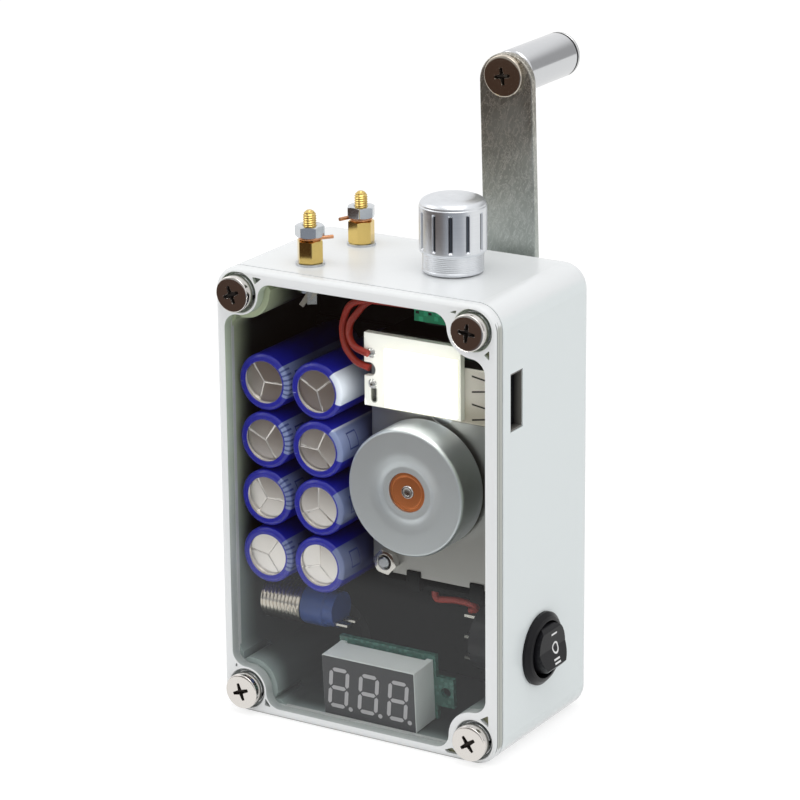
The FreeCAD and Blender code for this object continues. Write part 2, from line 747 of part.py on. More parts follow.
def make_gear_train():
    pinion_step = 180.0 / pinion_teeth
    arbor_front, arbor_back = plate_front + 0.2, rear_plate_back - 0.2
    shoulder = arbor_radius + shoulder_height

    def arbor(centre):
        """Steel arbor that turns in both gearbox plates."""
        return turned_y(centre[0], centre[1],
                        [(0, arbor_front), (arbor_radius, arbor_front), (arbor_radius, plate_back + 0.3),
                         (shoulder, plate_back + 0.3), (shoulder, rear_plate_front - 0.3),
                         (arbor_radius, rear_plate_front - 0.3), (arbor_radius, arbor_back), (0, arbor_back)])

    # crank gear: five round windows lighten its web
    towards_one = direction(crank_axis, idler_one_axis)
    crank_gear = involute_gear(crank_axis, crank_module, crank_teeth, towards_one,
                               crank_layer, crank_gear_width, crank_shaft_radius + gear_seat_height)
    web_in, web_out = crank_shaft_radius + gear_seat_height, crank_tip - 2.2 * crank_module
    window_radius = (web_out - web_in) * 0.3
    for k in range(5):
        x, z = step(crank_axis, (web_in + web_out) / 2, 72 * k)
        crank_gear = crank_gear.cut(rod(x, crank_layer, z, (0, 1, 0), window_radius, crank_gear_width))
    keep("crank_gear", crank_gear)

    from_crank = direction(idler_one_axis, crank_axis) + pinion_step
    towards_two = direction(idler_one_axis, idler_two_axis)
    one_pinion = involute_gear(idler_one_axis, crank_module, pinion_teeth, from_crank,
                               crank_layer, crank_gear_width, shoulder)
    one_wheel = involute_gear(idler_one_axis, middle_module, middle_teeth, towards_two,
                              middle_layer, middle_gear_width, shoulder)
    keep("idler_one_gear", fuse([arbor(idler_one_axis), one_pinion, one_wheel]))

    from_one = direction(idler_two_axis, idler_one_axis) + pinion_step
    towards_rotor = direction(idler_two_axis, rotor_axis)
    two_pinion = involute_gear(idler_two_axis, middle_module, pinion_teeth, from_one,
                               middle_layer, middle_gear_width, shoulder)
    keep("idler_two_pinion", fuse([arbor(idler_two_axis), two_pinion]))
    keep("idler_two_wheel", involute_gear(idler_two_axis, last_module, last_teeth, towards_rotor,
                                          last_layer, rotor_gear_width, shoulder))


# ------------------------------------------------------------------ crank
def make_crank():
    x, z = crank_axis
    bore = crank_shaft_radius + running_clearance
    flange_back = back + bushing_flange_thickness
    keep("crank_bushing", turned_y(x, z, [(bore, backing_front + 0.1), (bushing_radius - 1.0, backing_front + 0.1),
                                          (bushing_radius - 1.0, back_inner), (bushing_radius, back_inner),
                                          (bushing_radius, back), (bushing_flange_radius, back),
                                          (bushing_flange_radius - 0.3, flange_back), (bore, flange_back)]))

    # shaft: journal in the front plate, gear seat, journal in the bushing, shoulder, square and thread
    seat = crank_shaft_radius + gear_seat_height
    arm_back = arm_front + arm_thickness
    nut_back = arm_back + crank_nut_height
    shaft = turned_y(x, z, [(0, plate_front + 0.2), (crank_shaft_radius, plate_front + 0.2),
                            (crank_shaft_radius, crank_layer - 0.5), (seat, crank_layer - 0.5),
                            (seat, crank_layer + crank_gear_width + 0.4),
                            (crank_shaft_radius, crank_layer + crank_gear_width + 0.4),
                            (crank_shaft_radius, flange_back + 0.3), (seat - 0.3, flange_back + 0.3),
                            (seat - 0.3, arm_front), (crank_thread_radius, arm_front),
                            (crank_thread_radius, nut_back + 1.2), (crank_thread_radius - 0.4, nut_back + 1.6),
                            (0, nut_back + 1.6)])
    half = arm_square / 2
    square = block(x - half, x + half, arm_front, arm_back, z - half, z + half)
    square.rotate(V(x, 0, z), V(0, 1, 0), -arm_lean)
    keep("crank_shaft", fuse([shaft, square]))

    # flat arm: round ends, square hole on the shaft, round hole for the handle screw
    end_radius = arm_width / 2
    tip_centre = z + crank_length + arm_tip_reach - end_radius
    arm = fuse([block(x - end_radius, x + end_radius, arm_front, arm_back, z, tip_centre),
                rod(x, arm_front, z, (0, 1, 0), end_radius, arm_thickness),
                rod(x, arm_front, tip_centre, (0, 1, 0), end_radius, arm_thickness)])
    hole = block(x - half, x + half, arm_front, arm_back, z - half, z + half)
    arm = arm.cut(hole).cut(rod(x, arm_front, z + crank_length, (0, 1, 0), handle_screw_radius, arm_thickness))

    hz = z + crank_length
    head = arm_front - handle_head_height
    grip_front = arm_back + handle_spacer_length
    grip_back = grip_front + handle_length
    cap_back = grip_back + handle_end_gap + handle_cap_length
    screw = turned_y(x, hz, [(0, head), (handle_head_radius - 1.3, head), (handle_head_radius - 0.3, head + 0.35),
                             (handle_head_radius, head + 0.8), (handle_head_radius, arm_front),
                             (handle_screw_radius, arm_front), (handle_screw_radius, cap_back - 0.3),
                             (0, cap_back - 0.3)])
    screw = screw.cut(cross_recess(x, head, hz, -1, 1.7, 1.1))
    spacer = turned_y(x, hz, [(handle_screw_radius, arm_back), (handle_spacer_radius, arm_back),
                              (handle_spacer_radius, grip_front - 0.3), (handle_screw_radius, grip_front - 0.3)])
    cap = turned_y(x, hz, [(handle_screw_radius, grip_back + handle_end_gap),
                           (handle_radius, grip_back + handle_end_gap), (handle_radius, cap_back - 0.3),
                           (handle_radius - 0.3, cap_back), (0, cap_back), (0, cap_back - 0.3),
                           (handle_screw_radius, cap_back - 0.3)])
    grip_bore = handle_screw_radius + running_clearance
    grip = turned_y(x, hz, [(grip_bore, grip_front), (handle_radius - 0.3, grip_front),
                            (handle_radius, grip_front + 0.3), (handle_radius, grip_back - 0.3),
                            (handle_radius - 0.3, grip_back), (grip_bore, grip_back)])
    nut = hexagon((x, arm_back, z), (0, 1, 0), (0, 0, 1), crank_nut_flats, crank_nut_height,
                  crank_thread_radius)
    named = (("crank_arm", arm), ("handle_screw", screw), ("handle_spacer", spacer),
             ("handle_end_cap", cap), ("handle_grip", grip), ("crank_nut", nut))
    for name, shape in named:
        shape.rotate(V(x, 0, z), V(0, 1, 0), -arm_lean)
        keep(name, shape)


# ------------------------------------------------------------------ knob and potentiometer
def make_knob():
    x, y = knob_x, knob_y
    foot, top = case_height + knob_lift, case_height + knob_lift + knob_height
    step = foot + skirt_height
    pot_top = top_inner
    nut_top = case_height + panel_nut_height
    recess_top = nut_top + 0.8
    knob = turned_z(x, y, [(knob_shaft_radius, recess_top), (skirt_radius - 0.9, recess_top),
                           (skirt_radius - 0.9, foot), (skirt_radius, foot), (skirt_radius, step - 0.3),
                           (skirt_radius - 0.3, step), (knob_radius, step + 0.1),
                           (knob_radius, top - 1.3), (knob_radius - 0.5, top - 0.8),
                           (knob_radius - 1.2, top - 0.35), (0, top), (0, top - 1.9),
                           (knob_shaft_radius, top - 1.9)])
    for k in range(knob_grooves):
        angle = 360.0 * k / knob_grooves
        groove = block(knob_radius - 0.45, knob_radius + 1, -0.35, 0.35, step + 0.1, top - 2.6)
        groove.translate(V(x, y, 0))
        groove.rotate(V(x, y, 0), V(0, 0, 1), angle + 15)
        knob = knob.cut(groove)
    keep("control_knob", knob)
    shaft_foot = pot_top - pot_height + 1.0
    keep("knob_shaft", rod(x, y, shaft_foot, (0, 0, 1), knob_shaft_radius, top - 1.9 - shaft_foot))

    bore = knob_shaft_radius + running_clearance
    pot_foot = pot_top - pot_height
    body = turned_z(x, y, [(0, pot_foot), (pot_radius, pot_foot), (pot_radius, pot_top - pot_rounding),
                           (pot_radius - pot_rounding, pot_top), (pot_bushing_radius, pot_top),
                           (pot_bushing_radius, nut_top + 0.3), (bore, nut_top + 0.3),
                           (bore, shaft_foot - 0.3), (0, shaft_foot - 0.3)])

    # small dimmer board, soldered on the potentiometer's three legs
    board_back = y - pot_radius - 0.6
    board_front = board_back - dimmer_board_thickness
    leg_foot = pot_foot + 2.6
    legs = [block(x + dx - 0.4, x + dx + 0.4, board_front, y - pot_radius + 1.0, leg_foot, leg_foot + 0.6)
            for dx in (-3, 0, 3)]
    board = block(x - 3.8, x + 8.0, board_front, board_back, pot_foot + 1.0, pot_top - 0.2)
    for leg in legs:
        board = board.cut(leg)
    keep("potentiometer", fuse([body] + legs))
    keep("dimmer_board", board)


# ------------------------------------------------------------------ binding posts
def make_posts():
    washers, standoffs, studs, nuts, loops, lugs = [], [], [], [], [], []
    z1 = case_height + post_washer_thickness
    z2 = z1 + standoff_height
    z3 = z2 + 2 * copper_wire_radius
    z4 = z3 + post_nut_height
    lug_foot = top_inner - post_lug_thickness
    inner_nut_foot = lug_foot - post_nut_height
    for index, (x, y) in enumerate(post_places):
        washers.append(turned_z(x, y, [(post_stud_radius, case_height), (post_washer_radius, case_height),
                                       (post_washer_radius, z1), (post_stud_radius, z1)]))
        turn = math.radians(20 + 25 * index)
        across = (math.cos(turn), math.sin(turn), 0)
        standoffs.append(hexagon((x, y, z1), (0, 0, 1), across, standoff_flats, standoff_height,
                                 post_stud_radius))
        tip = z4 + post_stud_proud
        studs.append(turned_z(x, y, [(0, inner_nut_foot - 1.2), (post_stud_radius - 0.3, inner_nut_foot - 1.2),
                                     (post_stud_radius, inner_nut_foot - 0.9), (post_stud_radius, z4),
                                     (post_neck_radius, z4), (post_neck_radius, z4 + post_neck_height),
                                     (post_stud_radius, z4 + post_neck_height), (post_stud_radius, tip - 0.7),
                                     (post_stud_radius * 0.7, tip - 0.2), (0, tip)]))
        turn = math.radians(5 + 30 * index)
        across = (math.cos(turn), math.sin(turn), 0)
        nuts.append(hexagon((x, y, z3), (0, 0, 1), across, post_nut_flats, post_nut_height, post_stud_radius))
        nuts.append(hexagon((x, y, inner_nut_foot), (0, 0, 1), across, post_nut_flats, post_nut_height,
                            post_stud_radius))
        heading = math.radians(8 if index == 0 else 208)
        ring = Part.makeTorus(wire_loop_radius, copper_wire_radius, V(x, y, z2 + copper_wire_radius))
        tail_start = V(x + wire_loop_radius * math.cos(heading), y + wire_loop_radius * math.sin(heading),
                       z2 + copper_wire_radius)
        tail = Part.makeCylinder(copper_wire_radius, wire_tail_length, tail_start,
                                 V(math.cos(heading), math.sin(heading), 0.0))
        loops.append(ring.fuse(tail).removeSplitter())
        lug = turned_z(x, y, [(post_stud_radius, lug_foot), (post_lug_radius, lug_foot),
                              (post_lug_radius, top_inner), (post_stud_radius, top_inner)])
        half, reach = post_lug_width / 2, post_lug_reach
        tongue = block(x + post_lug_radius - 0.2, x + reach, y - half, y + half, lug_foot, top_inner)
        tail = block(x + reach - post_lug_thickness, x + reach, y - half, y + half, top_inner - post_lug_drop,
                     top_inner - post_lug_thickness)
        side = -55 if index == 0 else 0
        lug = fuse([lug, tongue, tail])
        lug.rotate(V(x, y, 0), V(0, 0, 1), side)
        lugs.append(lug)
    keep("post_washers", *washers)
    keep("post_standoffs", *standoffs)
    keep("post_studs", *studs)
    keep("post_nuts", *nuts)
    keep("post_wire_loops", *loops)
    keep("post_solder_lugs", *lugs)


# ------------------------------------------------------------------ switch and push button
def make_switch():
    y, z = switch_y, switch_z
    face = half_width + switch_bezel_height
    rear = side_inner - switch_depth
    pivot_x = half_width - 0.6
    body = turned_x(y, z, [(0, rear), (switch_barrel_radius, rear), (switch_barrel_radius, half_width),
                           (switch_bezel_radius, half_width), (switch_bezel_radius, face - 1.0),
                           (switch_bezel_radius - 0.9, face - 0.2), (switch_bezel_radius - 1.5, face), (0, face)])
    # the round well that the rocker swings in
    well_floor = pivot_x - rocker_radius - rocker_gap
    well = rod(well_floor, y, z, (1, 0, 0), switch_well_radius, face - well_floor)
    pin_half = switch_well_radius + 0.4
    pin = rod(pivot_x, y - pin_half, z, (0, 1, 0), rocker_pin_radius, 2 * pin_half)
    keep("switch_housing", fuse([body.cut(well), pin]))

    # rocker: the same drum with a shallow V face, set over to its upper contact
    start, width = y - rocker_face_radius, 2 * rocker_face_radius
    drum = rod(pivot_x, start, z, (0, 1, 0), rocker_radius, width)
    rise = rocker_rise
    outline = [(-rocker_radius, -rocker_radius - 1), (rise + 0.5, -rocker_radius - 1), (rise - 0.5, 0),
               (rise + 0.5, rocker_radius + 1), (-rocker_radius, rocker_radius + 1)]
    corners = [V(pivot_x + dx, start, z + dz) for dx, dz in outline]
    paddle = Part.Face(Part.makePolygon(corners + corners[:1])).extrude(V(0, width, 0))
    round_end = rod(pivot_x - rocker_radius, y, z, (1, 0, 0), rocker_face_radius, 3 * rocker_radius)
    rocker = drum.common(paddle).common(round_end)
    rocker = rocker.cut(rod(pivot_x, start, z, (0, 1, 0), rocker_pin_radius + running_clearance, width))
    rocker.rotate(V(pivot_x, y, z), V(0, 1, 0), -rocker_tilt)
    keep("switch_rocker", rocker)

    tabs = [block(rear - terminal_length, rear, y - 1.1, y + 1.1, z - terminal_offset + k * terminal_pitch - 0.3,
                  z - terminal_offset + k * terminal_pitch + 0.3) for k in (-1, 0, 1)]
    barrel_end = -side_inner + button_barrel_length
    base_end = barrel_end + button_base_length
    pin_z = button_z - button_pin_drop
    tabs += [block(base_end, base_end + button_pin_length, button_y + dy - 0.9, button_y + dy + 0.9,
                   pin_z - 0.25, pin_z + 0.25) for dy in (-button_pin_spread, button_pin_spread)]
    keep("solder_terminals", *tabs)


def make_button():
    y, z = button_y, button_z
    outer = -half_width - button_nut_height
    face = outer - button_flange_height
    barrel_end = -side_inner + button_barrel_length
    bore = button_radius + running_clearance
    barrel = turned_x(y, z, [(bore, face), (button_barrel_radius - 0.4, face),
                             (button_barrel_radius, face + 0.4), (button_barrel_radius, barrel_end),
                             (0, barrel_end), (0, barrel_end - 1.2), (bore, barrel_end - 1.2)])
    keep("button_barrel", barrel)
    tip = face - button_proud
    plunger_back = barrel_end - 1.2 - button_travel - 0.5
    keep("button_plunger", turned_x(y, z, [(0, tip), (button_radius - 0.5, tip), (button_radius, tip + 0.5),
                                           (button_radius, plunger_back), (0, plunger_back)]))
    base_end = barrel_end + button_base_length
    keep("button_base", turned_x(y, z, [(0, barrel_end), (button_base_radius, barrel_end),
                                        (button_base_radius, barrel_end + 5.2), (button_base_radius - 0.4, barrel_end + 5.6),
                                        (button_base_radius - 0.4, base_end), (0, base_end)]))
    nut = hexagon((-half_width, y, z), (-1, 0, 0), (0, 0, 1), button_nut_flats, button_nut_height,
                  button_barrel_radius)
    pot_nut = hexagon((knob_x, knob_y, case_height), (0, 0, 1), (1, 0, 0), pot_nut_flats, panel_nut_height,
                      pot_bushing_radius)
    keep("panel_nuts", nut, pot_nut)


# ------------------------------------------------------------------ boards, socket, light panel
def make_electronics():
    y0, y1 = usb_y - usb_thickness / 2, usb_y + usb_thickness / 2
    z0, z1 = usb_z - usb_width / 2, usb_z + usb_width / 2
    x0, x1 = half_width - 0.2 - usb_length, half_width - 0.2
    shell = block(x0, x1, y0, y1, z0, z1)
    shell = shell.makeFillet(0.6, [edge for edge in shell.Edges if edge.BoundBox.XLength > usb_length - 1])
    shell = shell.cut(block(x0 + usb_sheet, x1, y0 + usb_sheet, y1 - usb_sheet, z0 + usb_sheet, z1 - usb_sheet))
    keep("usb_shell", shell)
    tongue_back = y1 - usb_sheet - 0.25
    tongue = block(x0 + usb_sheet, x1 - usb_tongue_inset, tongue_back - usb_tongue_thickness, tongue_back,
                   z0 + usb_sheet + 0.3, z1 - usb_sheet - 0.3)
    keep("usb_tongue", tongue)
    board_right = side_inner - gearbox_side_gap
    board = block(board_right - converter_board_width, board_right, y1, y1 + board_thickness,
                  usb_z - converter_board_drop, usb_z + converter_board_rise)
    for x, z in gearbox_screw_places:
        board = board.cut(rod(x, y1, z, (0, 1, 0), gearbox_nut_flats / math.sqrt(3) + 0.5, board_thickness))
    keep("converter_board", board)

    led = block(led_left, led_right, led_front, led_front + board_thickness, led_bottom, led_top)
    led_notch_z = led_top - led_notch_drop
    led = led.cut(rod(led_left + 1.2, led_front, led_notch_z, (0, 1, 0), led_notch_radius, board_thickness))
    led = led.cut(block(led_left, led_left + 1.2, led_front, led_front + board_thickness,
                        led_notch_z - led_notch_radius, led_notch_z + led_notch_radius))
    led = led.cut(block(led_left + 1.6, led_left + 2.8, led_front, led_front + board_thickness,
                        led_bottom + 1.4, led_bottom + 4.2))
    keep("led_board", led)
    emitter_left, emitter_foot = led_left + emitter_inset, led_bottom + emitter_lift
    keep("led_emitter", block(emitter_left, emitter_left + emitter_width, led_front - emitter_thickness,
                              led_front, emitter_foot, emitter_foot + emitter_height))


def make_capacitors():
    cans, sleeves = [], []
    front, back_face = capacitor_front, capacitor_back
    radius, can = capacitor_radius, capacitor_radius - sleeve_thickness
    lead_end = backing_front
    for x, z in capacitor_places:
        body = turned_y(x, z, [(0, front + 0.15), (capacitor_face_radius, front + 0.15),
                               (can - 0.7, front + sleeve_thickness), (can, front + 1.1),
                               (can, back_face), (0, back_face)])
        leads = [rod(x + dx, back_face, z, (0, 1, 0), lead_radius, lead_end - back_face)
                 for dx in (-lead_spacing / 2, lead_spacing / 2)]
        cans.append(fuse([body] + leads))
        sleeves.append(turned_y(x, z, [(capacitor_face_radius, front), (radius - 0.8, front),
                                       (radius - 0.2, front + 0.4), (radius, front + 1.0),
                                       (radius, back_face), (can, back_face), (can, front + 1.1),
                                       (can - 0.7, front + sleeve_thickness),
                                       (capacitor_face_radius, front + 0.15)]))
    keep("capacitor_cans", *cans)
    keep("capacitor_sleeves", *sleeves)
    board_front = back_face + capacitor_board_gap
    (left, low), (right, high) = capacitor_places[0], capacitor_places[-1]
    board = block(left - capacitor_radius, right + capacitor_radius, board_front, backing_front,
                  low - capacitor_radius, high + capacitor_radius)
    for x, z in capacitor_places:
        for dx in (-lead_spacing / 2, lead_spacing / 2):
            board = board.cut(rod(x + dx, board_front, z, (0, 1, 0), lead_radius + 0.05, board_thickness))
    keep("capacitor_board", board)


def make_meter():
    x0, x1 = meter_x - meter_width / 2, meter_x + meter_width / 2
    z0 = floor_thickness + 0.05
    z1 = z0 + meter_height
    face, rear = meter_front, meter_front + meter_depth
    case = block(x0, x1, face, rear, z0, z1)
    case = case.cut(block(x0 + 0.5, x1 - 0.5, face, face + 0.4, z0 + 0.5, z1 - 0.5))
    feet = [block(x, x + 1.5, rear, rear + meter_foot, z0, z1) for x in (x0, x1 - 1.5)]
    case = fuse([case] + feet)
    window = block(x0 + 0.5, x1 - 0.5, face + 0.1, face + 0.4, z0 + 0.5, z1 - 0.5)
    board_front = rear + meter_foot
    ear_top, ear_low = z0 + 10.0, z0 + 3.2
    board_back = board_front + meter_board_thickness
    board = fuse([block(x0 - 0.4, x1 + 0.6, board_front, board_back, z0, z1 + 1.0),
                  block(x0 - 4.6, x1 + 4.8, board_front, board_back, ear_low, ear_top)])
    for x in (x0 - 2.6, x1 + 2.8):
        board = board.cut(rod(x, board_front, (ear_low + ear_top) / 2, (0, 1, 0), 1.2, meter_board_thickness))
    pivot = V(0, face, z0)
    for name, shape in (("meter_case", case), ("meter_window", window), ("meter_board", board)):
        shape.rotate(pivot, V(1, 0, 0), meter_lean)
        keep(name, shape)


def make_wires():
    dimmer_front = knob_y - pot_radius - 0.6 - dimmer_board_thickness - wire_radius - 0.1
    pot_middle = top_inner - pot_height / 2
    top_run = pot_middle + 1.4
    first = round_wire("light wire one",
                       [(knob_x - 3.3, dimmer_front, top_run),
                        (led_left + 3.2, dimmer_front - 0.5, top_run + 0.3),
                        (led_left - 1.6, led_front + 4.2, top_run - 0.3),
                        (led_left - 4.8, led_front + 2.3, led_top + 0.8),
                        (led_left - 4.6, led_front + 1.3, led_top - 1.5),
                        (led_left - 2.2, led_front - wire_radius, led_top - 3.4),
                        (led_left + 1.5, led_front - wire_radius - 0.05, led_top - 4.3)], wire_radius)
    second = round_wire("light wire two",
                        [(knob_x + 0.2, dimmer_front, top_run),
                         (led_left + 9.6, dimmer_front - 2.1, top_run + 0.3),
                         (led_left - 1.0, led_front + 2.6, top_run + 0.2),
                         (led_left - 5.0, led_front + 2.3, top_run - 1.1),
                         (led_left - 7.1, led_front + 2.7, led_top - 0.3),
                         (led_left - 6.1, led_front + 1.9, led_top - 4.5),
                         (led_left - 2.6, led_front + 0.9, led_top - 7.2),
                         (led_left + 0.8, led_front + board_thickness / 2, led_top - led_notch_drop)],
                        wire_radius)
    start_x, start_y = box_left + 13.4, plate_back + 1.9
    end_x = side_inner - switch_depth - 3.2
    end_z = switch_z - terminal_offset + terminal_pitch + 1.08
    third = round_wire("generator wire",
                       [(start_x, start_y, box_bottom), (start_x, start_y, box_bottom - 2.6),
                        (start_x + 5.2, start_y - 0.1, box_bottom - 1.6),
                        (end_x + 1.9, start_y + 0.1, box_bottom - 2.0),
                        (end_x + 2.2, switch_y - 0.9, end_z + 0.82), (end_x, switch_y - 0.2, end_z)],
                       wire_radius)
    keep("hook_up_wires", first, second, third)


make_case()
make_gearbox()
make_generator()
make_gear_train()
make_crank()
make_knob()
make_posts()
make_switch()
make_button()
make_electronics()
make_capacitors()
make_meter()
make_wires()

os.makedirs("parts", exist_ok=True)
for name, shape in parts.items():
    if not shape.isValid():
        print("not valid:", name)
    shape.exportStep("parts/" + name + ".step")
print(len(parts), "nodes")
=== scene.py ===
import math

import bmesh
import bpy
import numpy as np
from mathutils import Matrix, Vector
from mathutils.geometry import delaunay_2d_cdt


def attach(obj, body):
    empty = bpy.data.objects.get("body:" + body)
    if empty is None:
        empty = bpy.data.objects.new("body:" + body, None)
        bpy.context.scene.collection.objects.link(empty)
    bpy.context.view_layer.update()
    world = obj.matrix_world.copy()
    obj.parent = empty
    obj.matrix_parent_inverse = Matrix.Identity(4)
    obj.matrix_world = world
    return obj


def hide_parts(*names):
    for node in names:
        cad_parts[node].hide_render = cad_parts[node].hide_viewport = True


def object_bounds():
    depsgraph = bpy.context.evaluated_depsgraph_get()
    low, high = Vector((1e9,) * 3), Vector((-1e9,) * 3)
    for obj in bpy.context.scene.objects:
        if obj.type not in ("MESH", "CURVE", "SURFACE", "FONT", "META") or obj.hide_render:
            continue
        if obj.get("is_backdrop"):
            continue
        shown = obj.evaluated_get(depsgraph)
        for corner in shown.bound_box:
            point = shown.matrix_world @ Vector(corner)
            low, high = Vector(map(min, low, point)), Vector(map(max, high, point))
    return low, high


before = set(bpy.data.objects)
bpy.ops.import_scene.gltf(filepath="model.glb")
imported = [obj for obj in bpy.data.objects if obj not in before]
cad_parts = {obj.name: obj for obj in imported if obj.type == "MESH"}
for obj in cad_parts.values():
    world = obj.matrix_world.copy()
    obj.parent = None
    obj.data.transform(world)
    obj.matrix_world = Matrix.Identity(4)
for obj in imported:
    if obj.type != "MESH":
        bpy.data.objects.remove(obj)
cad_low, cad_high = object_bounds()

MM = 0.001
MICRON = 0.000001
TURN = 2 * math.pi
OUT, BACK, UP, RIGHT = (0, -1, 0), (0, 1, 0), (0, 0, 1), (1, 0, 0)

# Places and sizes of the generator, in millimetres.
HALF_WIDTH, HEIGHT, MID_HEIGHT = 34.0, 100.0, 50.0
LID_FRONT, LID_BACK = -20.0, -17.6
SCREW_SIDE, SCREW_RISE = 28.4, 44.7  # lid screws, from the middle of the lid
BELL = (9.6, 0.0, 55.34)
KNOB_X = 12.2
CRANK = np.array([13.2, 0.0, 71.43])
THROW = 65.5
HANDLE = (11.6, 0.0, 136.91)


# ---------------------------------------------------------------- camera
def make_camera():
    """Long lens standing in front, to the right of and above the box."""
    eye = bpy.data.cameras.new("camera")
    eye.lens, eye.sensor_width = 159.0, 36.0
    eye.clip_start, eye.clip_end = 0.02, 50.0
    camera = bpy.data.objects.new("camera", eye)
    bpy.context.scene.collection.objects.link(camera)
    across, up = Vector((0.85511, 0.51837, -0.00896)), Vector((-0.15155, 0.26645, 0.95186))
    away = Vector((-0.49580, 0.81259, -0.30641))
    turn = Matrix((across, up, -away)).transposed()
    camera.matrix_world = Matrix.Translation((0.370668, -0.609188, 0.299452)) @ turn.to_4x4()
    bpy.context.scene.camera = camera


make_camera()


# ---------------------------------------------------------------- finishes
class Wire:
    """A socket inside a finish. An expression on wires adds its Math nodes."""

    def __init__(self, finish, socket):
        self.finish, self.socket = finish, socket

    def _math(self, operation, *values):
        return self.finish.node("Math", values, operation=operation)

    def __neg__(self):
        return self * -1.0

    def __abs__(self):
        return self._math("ABSOLUTE", self)

    def least(self, other):
        return self._math("MINIMUM", self, other)

    def most(self, other):
        return self._math("MAXIMUM", self, other)

    def root(self):
        return self._math("SQRT", self)

    def rise(self, low, high):
        """0 below low, 1 above high, smooth between; falls instead where low is above high."""
        span = {"Value": self, "From Min": low, "From Max": high}
        return self.finish.node("MapRange", span, interpolation_type="SMOOTHSTEP")


for sign, operation in (("add", "ADD"), ("sub", "SUBTRACT"), ("mul", "MULTIPLY"),
                        ("truediv", "DIVIDE"), ("pow", "POWER"), ("mod", "FLOORED_MODULO")):
    setattr(Wire, f"__{sign}__", lambda self, other, kind=operation: self._math(kind, self, other))
    setattr(Wire, f"__r{sign}__", lambda self, other, kind=operation: self._math(kind, other, self))


class Finish:
    """One procedural material, or the world, built from nodes."""

    def __init__(self, name, world=None):
        self.owner = world or bpy.data.materials.new(name)
        self.owner.use_nodes = True
        self.tree = self.owner.node_tree
        self.tree.nodes.clear()

    def node(self, kind, values=(), out=0, **settings):
        """Any node: its type, the values or wires of its sockets by place or name, and its settings."""
        made = self.tree.nodes.new("ShaderNode" + kind)
        for name, setting in settings.items():
            setattr(made, name, setting)
        for key, value in values.items() if isinstance(values, dict) else enumerate(values):
            socket = made.inputs[key]
            if isinstance(value, Wire):
                self.tree.links.new(value.socket, socket)
            elif isinstance(value, tuple) and socket.type == "RGBA":
                socket.default_value = (*value, 1.0)
            else:
                socket.default_value = value
        return Wire(self, made.outputs[out])

    def split(self, vector):
        """The three numbers of a vector."""
        return [self.node("SeparateXYZ", [vector], out=axis) for axis in "XYZ"]

    def axes(self):
        """The three object coordinates as numbers in millimetres."""
        place = {"Vector": self.node("TexCoord", out="Object"), "Scale": 1 / MM}
        return self.split(self.node("VectorMath", place, operation="SCALE"))

    def noise(self, scale, detail=3.0, roughness=0.55, stretch=(1, 1, 1), place=None):
        """Noise from 0 to 1; scale is in turns per metre."""
        place = place or self.node("TexCoord", out="Object")
        if stretch != (1, 1, 1):
            place = self.node("Mapping", {"Vector": place, "Scale": stretch})
        return self.node("TexNoise", {"Vector": place, "Scale": scale, "Detail": detail, "Roughness": roughness})

    def rings(self, across, along, height, pitch):
        """Distance from an axis, and lathe lines: noise of (radius / pitch, height / pitch)."""
        radius = (across * across + along * along).root()
        spot = self.node("CombineXYZ", [radius / pitch, height / pitch, 0.0])
        return radius, self.noise(1.0, 2.0, 0.5, place=spot)

    def blend(self, mask, low, high):
        """A colour that goes from low to high with the mask."""
        return self.node("Mix", {0: mask, 6: low, 7: high}, out=2, data_type="RGBA")

    def bump(self, height, depth):
        """Relief from a height of 0 to 1, whose depth is in thousandths of a millimetre."""
        return self.node("Bump", {"Height": height, "Distance": depth * MICRON})

    def surface(self, **sockets):
        """The main shader; socket names are written with underscores."""
        return self.node("BsdfPrincipled", {name.replace("_", " "): value for name, value in sockets.items()})

    def close(self, shader, target="OutputMaterial"):
        """Wires the last shader to the output."""
        self.tree.links.new(shader.socket, self.tree.nodes.new("ShaderNode" + target).inputs[0])
        return self.owner

    def paint(self, **sockets):
        """Ends the finish with the main shader alone."""
        return self.close(self.surface(**sockets))

    def worked(self, tone, lines, colour, shade, roughness, swing, depth, **sockets):
        """Paint whose colour goes from its shade to itself with a tone, and whose gloss and relief follow lines."""
        return self.paint(Base_Color=self.blend(tone, shaded(colour, shade), colour),
                          Roughness=roughness + (lines - 0.5) * swing, Normal=self.bump(lines, depth), **sockets)


def shaded(colour, share):
    """A colour with less light: each channel times the share."""
    return tuple(channel * share for channel in colour)


def plastic(name, colour, roughness, spread, grain, depth, specular=0.5):
    """Moulded plastic: slight clouding of colour and gloss and a fine moulded grain, in turns per metre."""
    finish = Finish(name)
    return finish.worked(finish.noise(60.0, 2.0), finish.noise(grain, 2.0), colour, 1 - spread, roughness, 0.08, depth,
                         Specular_IOR_Level=specular)


def metal(name, colour, roughness, scale, depth, shade, swing=0.12, stretch=(1, 1, 1)):
    """Bare or plated metal: grain along the way it was worked, and patches of duller metal."""
    finish = Finish(name)
    grain = finish.noise(scale, 3.0, 0.6, stretch)
    return finish.worked(grain * 0.6 + finish.noise(220.0) * 0.4, grain, colour, shade, roughness, swing, depth,
                         Metallic=1.0)


def turned_metal(name, colour, roughness, centre, pitch=0.25, depth=6, shade=0.8, swing=0.1, axis=1):
    """Metal faced on a lathe: fine rings round the axis through the centre, in millimetres."""
    finish = Finish(name)
    parts = finish.axes()
    across, along = [parts[k] - centre[k] for k in range(3) if k != axis]
    _, lines = finish.rings(across, along, parts[axis], pitch)
    return finish.worked(lines, lines, colour, shade, roughness, swing, depth, Metallic=1.0)


